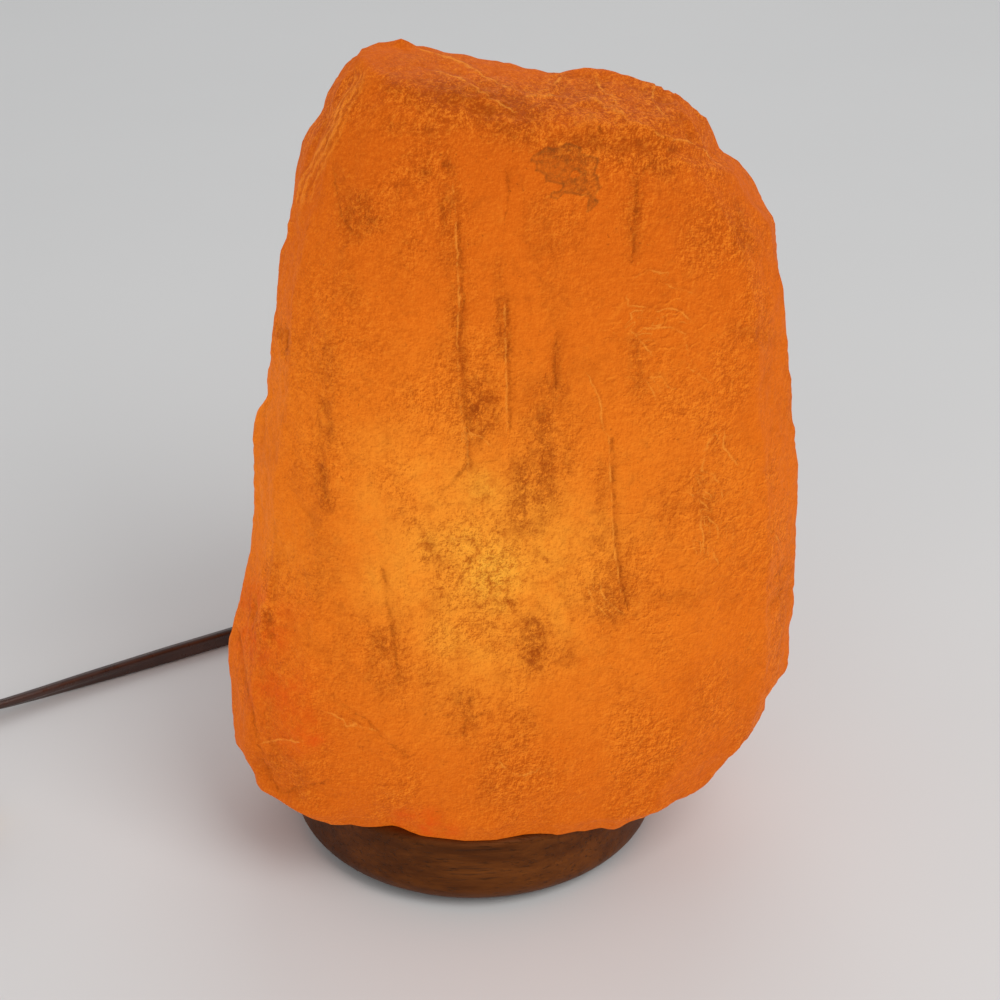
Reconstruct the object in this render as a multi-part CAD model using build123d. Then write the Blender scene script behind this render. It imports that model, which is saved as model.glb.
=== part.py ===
from build123d import *
import os
from math import atan2, cos, degrees, pi, radians, sin, sqrt, tan

os.makedirs("parts", exist_ok=True)

# Salt crystal lamp, millimetres, +Z up, standing on z = 0.
# Every piece is built about the axis of its round base. The stone overhangs the base further on
# its right, so the axis stands left of the frame's origin, the middle of the stone's outline.
AXIS_X = -10.0

CLEAR = 0.1          # pieces seated in one another
PART_CLEAR = 0.3     # pieces that move apart
SHAFT_CLEAR = 0.05   # a spindle in its bearing

# ---------------------------------------------------------------- driving dimensions: base, stone
FOOT_THICK = 2.0
FOOT_R = 5.0
FOOT_ROUND = 0.5
FOOT_FROM_EDGE = 0.5
FOOT_COUNT = 4

BASE_R = 54.0
BASE_THICK = 23.0
BASE_LOWER_ROUND = 7.0
BASE_UPPER_ROUND = 2.0

BORE_R = 23.0
BORE_DEPTH = 117.0
BORE_END_ROUND = 6.0

SCREW_COUNT = 3
SCREW_FROM_BORE = 9.0
SCREW_R = 2.0
SCREW_IN_STONE = 15.0
SCREW_POINT = 4.0
SCREW_POINT_R = 0.4
SCREW_HEAD_R = 3.9
SCREW_HEAD_THICK = 2.8
SCREW_HEAD_ROUND = 1.0
SCREW_SINK = 8.0
SINK_CLEAR = 0.6
CROSS_LENGTH = 6.0
CROSS_WIDTH = 1.0
CROSS_DEPTH = 1.2

PLUG_R = 3.5
PLUG_LENGTH = 20.0
PLUG_HOLE_SPARE = 2.0
PLUG_SLIT = 1.0
PLUG_COLLAR = 6.0

# The stone: height above its seat, then how far it reaches left, right, front and back of the
# base's axis, and how much a level drops per millimetre towards the right.
STONE_LEVELS = [
    (0.0, 61.0, 63.0, 52.0, 47.0, 0.0),
    (8.0, 69.0, 75.0, 57.0, 53.0, 0.0),
    (21.0, 71.0, 84.0, 59.5, 57.0, 0.0),
    (37.0, 70.5, 89.0, 60.0, 59.0, 0.0),
    (55.0, 66.5, 91.0, 59.5, 60.0, 0.0),
    (83.0, 61.0, 91.0, 57.0, 59.0, 0.0),
    (107.0, 59.0, 88.5, 54.5, 57.0, 0.0),
    (125.0, 54.5, 86.0, 52.0, 55.0, 0.0),
    (151.0, 51.5, 84.0, 48.0, 52.0, 0.02),
    (170.0, 47.5, 78.0, 43.0, 46.0, 0.04),
    (184.0, 41.5, 69.0, 38.5, 36.0, 0.06),
    (194.0, 37.0, 59.5, 34.0, 23.0, 0.08),
    (200.5, 33.0, 54.0, 30.0, 14.5, 0.08),
    (205.5, 28.0, 32.0, 23.0, 10.0, 0.17),
]
STONE_SQUARENESS = 2.7
STONE_SIDES = 16

# ---------------------------------------------------------------- driving dimensions: cord, groove
CORD_D = 6.2
GROOVE_ANGLE = 105.0
GROOVE_WIDTH = 9.0
GROOVE_DEPTH = 9.0
BUSHING_KEY = 8.0
BUSHING_INSIDE = 16.0
BUSHING_TAPER = 20.0
BASE_EXIT_RUN = 14.0
RELIEF_TIP_WALL = 0.35

# ---------------------------------------------------------------- driving dimensions: light unit
HOLDER_LOW = 46.0
HOLDER_R = 11.8
HOLDER_WALL = 1.7
HOLDER_CUP_HEIGHT = 10.0
HOLDER_CUP_FLOOR = 2.0
HOLDER_CUP_WALL = 2.8
HOLDER_CUP_ROUND = 2.0
WIRE_HOLE_R = 2.6
SLEEVE_HEIGHT = 30.0
SLEEVE_LIP = 2.0
MOUTH_CLEAR = 1.0
CORE_HEIGHT = 25.0
CORE_FLOOR = 5.0

THREAD_CLEAR = 0.3
SHELL_WALL = 0.5
SHELL_HEIGHT = 19.0
SHELL_EYE_R = 3.4
CONTACT_RISE = 4.7
CONTACT_REACH = 2.4
CONTACT_THICK = 0.4
CONTACT_WIDTH = 3.2
RIVET_R = 1.0
RIVET_SUNK = 1.0

TERMINAL_X = 5.2
TERMINAL_LENGTH = 5.0
TERMINAL_WIDTH = 4.4
TERMINAL_THICK = 1.0
TERMINAL_SCREW_R = 1.2
TERMINAL_SCREW_IN_CORE = 3.5
TERMINAL_HOLE_SPARE = 0.5
TERMINAL_HEAD_R = 1.9
TERMINAL_HEAD_THICK = 1.6
WIRE_R = 0.9
WIRE_SPACING = 2.4
WIRE_BEND_R = 1.2

BOOT_LENGTH = 22.0
BOOT_ROOT_R = 5.5
BOOT_ROOT_STRAIGHT = 3.0
BOOT_RIB_PITCH = 4.0
BOOT_SLOT = 1.4
BOOT_SLOT_COUNT = 4
LEAD_DROP = 8.5
LEAD_TURN_OUT = 10.0

COLLAR_WALL = 1.0
COLLAR_HEIGHT = 8.0
COLLAR_TOP_DROP = 4.0
CLIP_THICK = 0.6
CLIP_WIDTH = 8.0
CLIP_PIVOT_DROP = 2.5
CLIP_ROOT_ABOVE = 2.0
CLIP_ROOT_BELOW = 1.0
CLIP_ELBOW_DROP = 22.0
CLIP_TIP_DROP = 31.0
CLIP_TIP_IN = 2.0

# ---------------------------------------------------------------- driving dimensions: bulb
BULB_TIP_GAP = 0.3
TIP_R = 1.9
TIP_HEIGHT = 1.0
TIP_ROUND = 0.4
INSULATOR_HEIGHT = 2.5
CAP_R = 5.9
CAP_WALL = 0.4
CAP_FOOT_IN = 0.2
CAP_THREAD_DEPTH = 0.5
CAP_THREAD_START = 1.0
CAP_PITCH = 2.8
CAP_TURNS = 4
CAP_COLLAR = 4.8
CAP_COLLAR_BAND = 3.5
CAP_FLARE = 0.7
GLASS_R = 11.0
GLASS_WALL = 0.6
GLASS_LENGTH = 38.0
GLASS_IN_CAP = 2.5
GLASS_NECK_GAP = 0.2
STEM_HEIGHT = 15.0
STEM_TOP_R = 1.7
STEM_WAIST_R = 2.2
STEM_WAIST_HEIGHT = 9.0
STEM_FOOT_THICK = 1.0
LEAD_R = 0.3
LEAD_FOOT_X = 1.0
LEAD_SPREAD = 4.5
LEAD_RISE = 11.0
FILAMENT_R = 0.35
FILAMENT_RISE = 2.0
FILAMENT_BEND_R = 0.7

# ---------------------------------------------------------------- driving dimensions: dimmer
DIMMER_LENGTH = 60.0
DIMMER_WIDTH = 26.0
DIMMER_HEIGHT = 18.0
DIMMER_SPLIT = 8.5
DIMMER_WALL = 1.6
DIMMER_CORNER = 8.0
DIMMER_LOWER_ROUND = 1.2
DIMMER_UPPER_ROUND = 2.5
DIMMER_CORD_Z = 5.4
DIMMER_SCREW_X = 18.0
DIMMER_SCREW_R = 1.1
DIMMER_SCREW_BITE = 5.5
DIMMER_HEAD_R = 2.2
DIMMER_HEAD_LOW = 0.4
DIMMER_HEAD_SINK = 1.8
DIMMER_BOSS_R = 2.6
PILOT_SPARE = 0.5
BOARD_LOW = 5.6
BOARD_THICK = 1.4
BOARD_LENGTH = 44.0
BOARD_WIDTH = 17.0
CONTROL_R = 7.5
CONTROL_FLOOR = 1.0
CUP_DEPTH = 3.0
CUP_FLOOR_THICK = 1.4
CUP_WALL = 0.8
WHEEL_R = 10.2
WHEEL_GAP = 0.4
WHEEL_HEIGHT = 5.2
WHEEL_CHAMFER = 0.6
WHEEL_RIBS = 24
NOTCH_R = 0.7
NOTCH_OUT = 0.25
POINTER_WIDTH = 1.0
POINTER_DEPTH = 0.6
POINTER_FROM_MIDDLE = 3.0
POINTER_FROM_RIM = 1.6
SPINDLE_R = 1.9
SPINDLE_HOLE_CLEAR = 0.5
TRIAC_SIZE = (4.0, 10.0, 5.0)
TRIAC_X = 11.5
CAPACITOR_SIZE = (4.5, 8.0, 4.6)
CAPACITOR_X = -11.75
CAPACITOR_ROUND = 1.0
RELIEF_LENGTH = 20.0
RELIEF_ROOT_R = 5.2
RELIEF_NECK = 3.0
RELIEF_NECK_R = 2.8

# ---------------------------------------------------------------- driving dimensions: plug, coil
PLUG_BODY_LENGTH = 22.0
PLUG_BODY_WIDTH = 24.0
PLUG_BODY_HEIGHT = 14.0
PLUG_REAR_WIDTH = 17.0
PLUG_REAR_HEIGHT = 11.6
PLUG_CORNER = 4.0
PLUG_FACE_THICK = 2.0
PLUG_FACE_INSET = 0.4
PLUG_RELIEF_LENGTH = 22.0
BLADE_SPACING = 12.7
BLADE_WIDTH = 6.35
BLADE_THICK = 1.5
BLADE_OUT = 17.0
BLADE_IN_BODY = 10.0
BLADE_CHAMFER = 0.5
BLADE_HOLE_R = 1.5
BLADE_HOLE_FROM_TIP = 4.5
SLOT_CLEAR = 0.05

COIL_INNER_R = 25.0
COIL_GAP = 0.7
COIL_TURNS_IN = 3.0
COIL_TURNS_OUT = 2.75
COIL_DIP = 1.8
COIL_START_RUN = 16.0
COIL_END_RUN = 12.8
DIMMER_EXIT_RUN = 13.0
TIE_THICK = 0.8
TIE_WIDTH = 6.0
TIE_ROUND = 0.8
TIE_GAP = 0.4

# ---------------------------------------------------------------- sizes that follow
SEAT_Z = FOOT_THICK + BASE_THICK
BORE_TOP_Z = SEAT_Z + BORE_DEPTH
FOOT_CIRCLE_R = BASE_R - BASE_LOWER_ROUND - FOOT_R - FOOT_FROM_EDGE
SCREW_CIRCLE_R = BORE_R + SCREW_FROM_BORE
SCREW_SEAT_Z = FOOT_THICK + SCREW_SINK
SCREW_ANGLE = GROOVE_ANGLE + 180.0 / SCREW_COUNT
FOOT_ANGLE = GROOVE_ANGLE + 180.0 / FOOT_COUNT

SPOKE = Vector(cos(radians(GROOVE_ANGLE)), sin(radians(GROOVE_ANGLE)), 0)
GROOVE_Z = FOOT_THICK + GROOVE_DEPTH / 2
BUSHING_START = BASE_R - BUSHING_INSIDE
BUSHING_END = BUSHING_START + BUSHING_KEY + BUSHING_TAPER
RELIEF_TIP_R = CORD_D / 2 + RELIEF_TIP_WALL

SLEEVE_LOW = HOLDER_LOW + HOLDER_CUP_HEIGHT
SLEEVE_TOP = SLEEVE_LOW + SLEEVE_HEIGHT
CORE_TOP = SLEEVE_LOW + CORE_HEIGHT
CORE_R = HOLDER_R - HOLDER_WALL - CLEAR
SHELL_LOW = SLEEVE_LOW + CORE_FLOOR
SHELL_R = CAP_R + THREAD_CLEAR
CONTACT_TOP = SHELL_LOW + CONTACT_RISE
TERMINAL_LOW = SLEEVE_LOW - TERMINAL_THICK
BOOT_LOW = HOLDER_LOW - BOOT_LENGTH
COLLAR_R = HOLDER_R + CLEAR
COLLAR_TOP = SLEEVE_TOP - COLLAR_TOP_DROP
CLIP_PIVOT_R = COLLAR_R + COLLAR_WALL + PART_CLEAR + CLIP_THICK / 2
CLIP_PIVOT_Z = COLLAR_TOP - CLIP_PIVOT_DROP

TIP_LOW = CONTACT_TOP + BULB_TIP_GAP
INSULATOR_LOW = TIP_LOW + TIP_HEIGHT
CAP_LOW = INSULATOR_LOW + INSULATOR_HEIGHT
CAP_ROOT_R = CAP_R - CAP_THREAD_DEPTH
CAP_FLARE_R = CAP_R + CAP_FLARE
CAP_TOP = CAP_LOW + CAP_THREAD_START + CAP_PITCH * CAP_TURNS + CAP_COLLAR
MOUTH_R = CAP_FLARE_R + MOUTH_CLEAR
GLASS_NECK_R = CAP_ROOT_R - GLASS_NECK_GAP
GLASS_LOW = CAP_TOP - GLASS_IN_CAP
GLASS_TOP = GLASS_LOW + GLASS_LENGTH
STEM_TOP = GLASS_LOW + STEM_HEIGHT
LEAD_TOP = STEM_TOP + LEAD_RISE

BOARD_TOP = BOARD_LOW + BOARD_THICK
CUP_FLOOR_Z = DIMMER_HEIGHT - CUP_DEPTH
CUP_UNDER_Z = CUP_FLOOR_Z - CUP_FLOOR_THICK
CONTROL_TOP = CUP_UNDER_Z - CLEAR
WHEEL_LOW = CUP_FLOOR_Z + PART_CLEAR
WHEEL_TOP = WHEEL_LOW + WHEEL_HEIGHT

PLUG_Z = PLUG_BODY_HEIGHT / 2
PLUG_TIP_X = PLUG_BODY_LENGTH + PLUG_FACE_THICK + BLADE_OUT

CORD_LOW = CORD_D / 2 + CLEAR
COIL_PITCH = CORD_D + COIL_GAP
COIL_LOW = CORD_LOW + TIE_THICK + CLEAR
COIL_OUTER_R = COIL_INNER_R + COIL_TURNS_IN * COIL_PITCH

CENTRED = (Align.CENTER, Align.CENTER, Align.MIN)


# ---------------------------------------------------------------- helpers
def post(radius, low, high):
    return Pos(0, 0, low) * Cylinder(radius, high - low, align=CENTRED)


def tube(outer, inner, low, high):
    return post(outer, low, high) - post(inner, low, high)


def block(x0, x1, y0, y1, z0, z1):
    middle = Pos((x0 + x1) / 2, (y0 + y1) / 2, (z0 + z1) / 2)
    return middle * Box(x1 - x0, y1 - y0, z1 - z0)


def bar(x0, x1, width, z0, z1):
    """A block along X, as wide as width about the X axis."""
    return block(x0, x1, -width / 2, width / 2, z0, z1)


def turned(*outline):
    """A solid turned about Z from radius, height points."""
    line = Polyline(*outline, close=True)
    return revolve(Plane.XZ * make_face(line), Axis.Z)


def strip(points, thickness, width):
    """A bent strip: x, z points of its middle line, as wide as width along Y."""
    face = trace(Polyline(*points), thickness)
    return Rot(90, 0, 0) * extrude(face, width / 2, both=True)


def wire(route, radius, bend_radius):
    path = FilletPolyline(*route, radius=bend_radius)
    return sweep(Plane(path @ 0, z_dir=path % 0) * Circle(radius), path=path)


def ring_of(piece, count, first_angle=0.0):
    """Copies of one piece at even angles about Z, as separate solids."""
    step = 360.0 / count
    return [Rot(0, 0, first_angle + step * k) * piece for k in range(count)]


def lowest_rim(piece):
    return piece.edges().filter_by(GeomType.CIRCLE).sort_by(Axis.Z)[0]


def highest_rim(piece):
    return piece.edges().filter_by(GeomType.CIRCLE).sort_by(Axis.Z)[-1]


def lying_post(radius, length):
    """A round bar along X, centred on the origin."""
    return Rot(0, 90, 0) * Cylinder(radius, length)


def lying_cone(root_r, tip_r, length):
    """A taper along +X, its root at the origin."""
    return Pos(length / 2, 0, 0) * Rot(0, 90, 0) * Cone(root_r, tip_r, length)


def along(start, angle, distance):
    """The point at a level distance from start, in the heading given."""
    start = Vector(*start)
    return start + Vector(cos(radians(angle)), sin(radians(angle)), 0) * distance


def heading(start, end):
    way = Vector(*end) - Vector(*start)
    return degrees(atan2(way.Y, way.X))


def corner_radii(points):
    """The largest arc that each corner's two runs allow."""
    radii = []
    for before, corner, after in zip(points, points[1:], points[2:]):
        arriving, leaving = corner - before, after - corner
        half_turn = radians(arriving.get_angle(leaving)) / 2
        radii.append(0.45 * min(arriving.length, leaving.length) / tan(half_turn))
    return radii


def cord(name, points):
    """A round lead along straight runs and the arcs that join them, and its length."""
    points = [Vector(*p) for p in points]
    radii = corner_radii(points)
    path = FilletPolyline(*points, radius=radii)
    solid = sweep(Plane(path @ 0, z_dir=path % 0) * Circle(CORD_D / 2), path=path)
    share = solid.volume / (pi * CORD_D ** 2 / 4 * path.length)
    print(name, "length", round(path.length, 1), "volume share", round(share, 4))
    print("  radii", [round(r, 1) for r in radii])
    return solid, path.length


def save(name, *pieces):
    """One file for a node: its solids, moved from the base's axis to the lamp's frame."""
    solids = [s for p in pieces for s in p.solids()]
    moved = [Pos(AXIS_X, 0, 0) * s for s in solids]
    export_step(moved[0] if len(moved) == 1 else Compound(children=moved), f"parts/{name}.step")


# ---------------------------------------------------------------- stone and base
def stone_outline(height, left, right, front, back, drop):
    """One level of the stone: a many-sided, squared-off ring that tilts down to the right."""
    corners = []
    for k in range(STONE_SIDES):
        angle = 2 * pi * (k + 0.5) / STONE_SIDES
        c, s = cos(angle), sin(angle)
        across = abs(c) ** (2 / STONE_SQUARENESS)
        along_depth = abs(s) ** (2 / STONE_SQUARENESS)
        x = right * across if c > 0 else -left * across
        y = back * along_depth if s > 0 else -front * along_depth
        corners.append((x, y, SEAT_Z + height - drop * x))
    return Wire(Polyline(*corners, close=True).edges())


def salt_crystal():
    stone = Solid.make_loft([stone_outline(*level) for level in STONE_LEVELS], ruled=True)
    bore = post(BORE_R, SEAT_Z, BORE_TOP_Z)
    stone = stone - fillet(highest_rim(bore), BORE_END_ROUND)
    hole = post(PLUG_R + CLEAR / 2, SEAT_Z, SEAT_Z + PLUG_LENGTH + PLUG_HOLE_SPARE)
    for one in ring_of(Pos(SCREW_CIRCLE_R, 0, 0) * hole, SCREW_COUNT, SCREW_ANGLE):
        stone = stone - one
    return stone


def wooden_base():
    disc = post(BASE_R, FOOT_THICK, SEAT_Z)
    disc = fillet(lowest_rim(disc), BASE_LOWER_ROUND)
    disc = fillet(highest_rim(disc), BASE_UPPER_ROUND)
    disc = disc - post(BORE_R, FOOT_THICK, SEAT_Z)
    groove = bar(0, BASE_R, GROOVE_WIDTH, FOOT_THICK, FOOT_THICK + GROOVE_DEPTH)
    disc = disc - Rot(0, 0, GROOVE_ANGLE) * groove
    sink = post(SCREW_HEAD_R + SINK_CLEAR, FOOT_THICK, SCREW_SEAT_Z)
    sink = sink + post(SCREW_R + PART_CLEAR, FOOT_THICK, SEAT_Z)
    for one in ring_of(Pos(SCREW_CIRCLE_R, 0, 0) * sink, SCREW_COUNT, SCREW_ANGLE):
        disc = disc - one
    return disc


def base_screw():
    under_head = SCREW_SEAT_Z - SCREW_HEAD_THICK
    head = post(SCREW_HEAD_R, under_head, SCREW_SEAT_Z)
    head = fillet(lowest_rim(head), SCREW_HEAD_ROUND)
    slot = bar(-CROSS_LENGTH / 2, CROSS_LENGTH / 2, CROSS_WIDTH, under_head, under_head + CROSS_DEPTH)
    tip_z = SEAT_Z + SCREW_IN_STONE
    shank = turned((0, SCREW_SEAT_Z), (SCREW_R, SCREW_SEAT_Z), (SCREW_R, tip_z - SCREW_POINT),
                   (SCREW_POINT_R, tip_z), (0, tip_z))
    return head - slot - Rot(0, 0, 90) * slot + shank


def screw_plug():
    top = SEAT_Z + PLUG_LENGTH
    wall = tube(PLUG_R, SCREW_R + CLEAR / 2, SEAT_Z, top)
    return wall - bar(-PLUG_R, PLUG_R, PLUG_SLIT, SEAT_Z + PLUG_COLLAR, top)


def rubber_foot():
    foot = post(FOOT_R, 0, FOOT_THICK)
    return fillet(lowest_rim(foot), FOOT_ROUND)


# ---------------------------------------------------------------- light unit
def holder_cup():
    """The holder's lower cup, where the two wires reach their screws."""
    floor = HOLDER_LOW + HOLDER_CUP_FLOOR
    cup = post(HOLDER_R, HOLDER_LOW, SLEEVE_LOW)
    cup = fillet(lowest_rim(cup), HOLDER_CUP_ROUND)
    cup = cup - post(HOLDER_R - HOLDER_CUP_WALL, floor, SLEEVE_LOW)
    return cup - post(WIRE_HOLE_R, HOLDER_LOW, floor)


def holder_sleeve():
    lip = SLEEVE_TOP - SLEEVE_LIP
    sleeve = tube(HOLDER_R, HOLDER_R - HOLDER_WALL, SLEEVE_LOW, lip)
    return sleeve + tube(HOLDER_R, MOUTH_R, lip, SLEEVE_TOP)


def holder_core():
    core = post(CORE_R, SLEEVE_LOW, CORE_TOP)
    core = core - post(SHELL_R + SHELL_WALL + CLEAR, SHELL_LOW, CORE_TOP)
    core = core - post(RIVET_R + CLEAR, SLEEVE_LOW, SHELL_LOW)
    hole_top = SLEEVE_LOW + TERMINAL_SCREW_IN_CORE + TERMINAL_HOLE_SPARE
    hole = post(TERMINAL_SCREW_R + CLEAR, SLEEVE_LOW, hole_top)
    for one in ring_of(Pos(TERMINAL_X, 0, 0) * hole, 2):
        core = core - one
    return core


def thread_shell():
    outer = SHELL_R + SHELL_WALL
    shell = tube(outer, SHELL_R, SHELL_LOW, SHELL_LOW + SHELL_HEIGHT)
    return shell + tube(outer, SHELL_EYE_R, SHELL_LOW, SHELL_LOW + SHELL_WALL)


def centre_contact():
    """A folded spring tongue on a rivet, its top under the bulb's tip."""
    half = CONTACT_THICK / 2
    near, far = CONTACT_REACH, -CONTACT_REACH + half
    tongue = [(near, SHELL_LOW + half), (far, SHELL_LOW + half), (far, SHELL_LOW + 2 * CONTACT_THICK),
              (near - 4 * half, CONTACT_TOP - half), (near, CONTACT_TOP - 4 * half)]
    return strip(tongue, CONTACT_THICK, CONTACT_WIDTH) + post(RIVET_R, SLEEVE_LOW + RIVET_SUNK, SHELL_LOW)


def terminal_plates():
    near, far = TERMINAL_X - TERMINAL_LENGTH / 2, TERMINAL_X + TERMINAL_LENGTH / 2
    plate = bar(near, far, TERMINAL_WIDTH, TERMINAL_LOW, SLEEVE_LOW)
    plate = plate - Pos(TERMINAL_X, 0, 0) * post(TERMINAL_SCREW_R + CLEAR, TERMINAL_LOW, SLEEVE_LOW)
    return ring_of(plate, 2)


def terminal_screws():
    screw = post(TERMINAL_HEAD_R, TERMINAL_LOW - TERMINAL_HEAD_THICK, TERMINAL_LOW)
    screw = screw + post(TERMINAL_SCREW_R, TERMINAL_LOW, SLEEVE_LOW + TERMINAL_SCREW_IN_CORE)
    return ring_of(Pos(TERMINAL_X, 0, 0) * screw, 2)


def holder_wires():
    """From the boot up through the cup's floor and out to the two screw heads."""
    head_z = TERMINAL_LOW - TERMINAL_HEAD_THICK
    near_x = WIRE_SPACING / 2
    rise = head_z - HOLDER_LOW
    route = [(near_x, 0, HOLDER_LOW), (near_x, 0, HOLDER_LOW + 0.43 * rise),
             (TERMINAL_X, 0, HOLDER_LOW + 0.7 * rise), (TERMINAL_X, 0, head_z)]
    return ring_of(wire(route, WIRE_R, WIRE_BEND_R), 2)


def holder_boot():
    """The soft boot under the holder, slotted so that it bends with the lead."""
    boot = turned((0, BOOT_LOW), (RELIEF_TIP_R, BOOT_LOW), (BOOT_ROOT_R, HOLDER_LOW - BOOT_ROOT_STRAIGHT),
                  (BOOT_ROOT_R, HOLDER_LOW), (0, HOLDER_LOW))
    for k in range(BOOT_SLOT_COUNT):
        low = BOOT_LOW + BOOT_RIB_PITCH * (k + 1)
        boot = boot - tube(BOOT_ROOT_R + CLEAR, CORD_D / 2, low, low + BOOT_SLOT)
    return boot


def clip_collar():
    return tube(COLLAR_R + COLLAR_WALL, COLLAR_R, COLLAR_TOP - COLLAR_HEIGHT, COLLAR_TOP)


def clip():
    """A spring clip on the +X side: a short root, a wing that reaches the bore, a turned-in tip."""
    corner_r = BORE_R - PART_CLEAR
    elbow = sqrt(corner_r ** 2 - (CLIP_WIDTH / 2) ** 2) - CLIP_THICK / 2
    line = [(CLIP_PIVOT_R, CLIP_PIVOT_Z + CLIP_ROOT_ABOVE), (CLIP_PIVOT_R, CLIP_PIVOT_Z - CLIP_ROOT_BELOW),
            (elbow, COLLAR_TOP - CLIP_ELBOW_DROP), (elbow - CLIP_TIP_IN, COLLAR_TOP - CLIP_TIP_DROP)]
    return strip(line, CLIP_THICK, CLIP_WIDTH)


def lead_in_base():
    """From the boot down into the hole, round to the groove and along it to the bushing."""
    level = Vector(0, 0, GROOVE_Z)
    route = [(0, 0, BOOT_LOW), (0, 0, BOOT_LOW - LEAD_DROP), SPOKE * LEAD_TURN_OUT + level,
             SPOKE * BUSHING_START + level]
    return cord("lead_in_base", route)


def cord_bushing():
    """A key that fills the groove and a taper that leads out of the base."""
    root_r = GROOVE_DEPTH / 2 - 2 * CLEAR
    key_end = BUSHING_START + BUSHING_KEY
    key = bar(BUSHING_START, key_end, GROOVE_WIDTH - 2 * CLEAR, GROOVE_Z - root_r, GROOVE_Z + root_r)
    taper = Pos(key_end, 0, GROOVE_Z) * lying_cone(root_r, RELIEF_TIP_R, BUSHING_TAPER)
    return Rot(0, 0, GROOVE_ANGLE) * (key + taper)


# ---------------------------------------------------------------- bulb
def glass_outline(inset):
    """Half the glass's outline, drawn in by inset: neck, swelling side and round top."""
    neck_r = GLASS_NECK_R - inset
    neck = Line((neck_r, GLASS_LOW), (neck_r, GLASS_LOW + GLASS_IN_CAP))
    widest_z = GLASS_TOP - GLASS_R - 1
    shoulder = (0.8 * GLASS_R - inset, GLASS_LOW + 0.52 * (widest_z - GLASS_LOW))
    side = Spline(neck @ 1, shoulder, (GLASS_R - inset, widest_z), (0, GLASS_TOP - inset),
                  tangents=((0, 1), (-1, 0)))
    middle = Line(side @ 1, (0, GLASS_LOW))
    floor = Line((0, GLASS_LOW), neck @ 0)
    return make_face([*neck.edges(), *side.edges(), *middle.edges(), *floor.edges()])


def bulb_glass():
    outer = revolve(Plane.XZ * glass_outline(0), Axis.Z)
    return outer - revolve(Plane.XZ * glass_outline(GLASS_WALL), Axis.Z)


def bulb_cap():
    band = CAP_TOP - CAP_COLLAR_BAND
    thread_low = CAP_LOW + CAP_THREAD_START
    outside = [(CAP_ROOT_R - CAP_FOOT_IN, CAP_LOW)]
    for k in range(CAP_TURNS):
        low = thread_low + CAP_PITCH * k
        outside += [(CAP_ROOT_R, low), (CAP_R, low + CAP_PITCH / 2)]
    outside += [(CAP_ROOT_R, thread_low + CAP_PITCH * CAP_TURNS), (CAP_R, band), (CAP_FLARE_R, CAP_TOP)]
    inner_r = CAP_ROOT_R - CAP_WALL
    inside = [(CAP_FLARE_R - CAP_WALL, CAP_TOP), (CAP_ROOT_R, band + CAP_WALL), (inner_r, band - CAP_WALL),
              (inner_r, CAP_LOW + CAP_WALL), (inner_r - CAP_WALL, CAP_LOW)]
    return turned(*outside, *inside)


def bulb_insulator():
    rim_r = CAP_ROOT_R - CAP_THREAD_DEPTH
    return turned((0, INSULATOR_LOW), (TIP_R + CAP_WALL, INSULATOR_LOW), (rim_r, CAP_LOW), (0, CAP_LOW))


def bulb_tip():
    tip = post(TIP_R, TIP_LOW, INSULATOR_LOW)
    return fillet(lowest_rim(tip), TIP_ROUND)


def bulb_stem():
    foot_r = GLASS_NECK_R - GLASS_WALL - SHAFT_CLEAR
    low = GLASS_LOW + CAP_WALL
    return turned((0, low), (foot_r, low), (foot_r, low + STEM_FOOT_THICK),
                  (STEM_WAIST_R, GLASS_LOW + STEM_WAIST_HEIGHT), (STEM_TOP_R, STEM_TOP), (0, STEM_TOP))


def bulb_leads():
    route = [(LEAD_FOOT_X, 0, STEM_TOP), (LEAD_FOOT_X, 0, STEM_TOP + 0.23 * LEAD_RISE),
             (LEAD_SPREAD, 0, STEM_TOP + 0.73 * LEAD_RISE), (LEAD_SPREAD, 0, LEAD_TOP)]
    return ring_of(wire(route, LEAD_R, 1.0), 2)


def bulb_filament():
    low, high = LEAD_TOP + FILAMENT_RISE, LEAD_TOP + 2 * FILAMENT_RISE
    half = LEAD_SPREAD / 2
    route = [(-LEAD_SPREAD, 0, LEAD_TOP), (-LEAD_SPREAD, 0, low), (-half, 0, high), (0, 0, low),
             (half, 0, high), (LEAD_SPREAD, 0, low), (LEAD_SPREAD, 0, LEAD_TOP)]
    return wire(route, FILAMENT_R, FILAMENT_BEND_R)


# ---------------------------------------------------------------- cord set, in plan from the axis
BASE_EXIT = SPOKE * BUSHING_END + Vector(0, 0, GROOVE_Z)
TO_DIMMER = [
    BASE_EXIT,
    BASE_EXIT + SPOKE * BASE_EXIT_RUN,
    (-29.0, 88.6, 5.0),
    (-40.8, 96.1, 3.8),
    (-54.5, 98.9, CORD_LOW),
    (-68.3, 96.5, CORD_LOW),
    (-92.3, 82.1, CORD_LOW),
    (-126.6, 61.9, CORD_LOW),
    (-152.0, 45.4, 4.0),
    (-165.4, 37.2, DIMMER_CORD_Z),
    (-176.8, 30.8, DIMMER_CORD_Z),
]
DIMMER_HEADING = heading(TO_DIMMER[-2], TO_DIMMER[-1])
DIMMER_MIDDLE = along(TO_DIMMER[-1], DIMMER_HEADING, RELIEF_LENGTH + DIMMER_LENGTH / 2)
DIMMER_PLACE = Pos(DIMMER_MIDDLE.X, DIMMER_MIDDLE.Y, 0) * Rot(0, 0, DIMMER_HEADING)
DIMMER_FAR = along(DIMMER_MIDDLE, DIMMER_HEADING, RELIEF_LENGTH + DIMMER_LENGTH / 2)

# From the dimmer's far end the cord bends round to the coil's left side and meets it heading
# straight to the front: heading and length of each run, and how far it drops.
COIL_APPROACH = ((229, 14, 0.6), (249, 17, DIMMER_CORD_Z - 0.6 - COIL_LOW), (270, COIL_START_RUN, 0))
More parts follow.
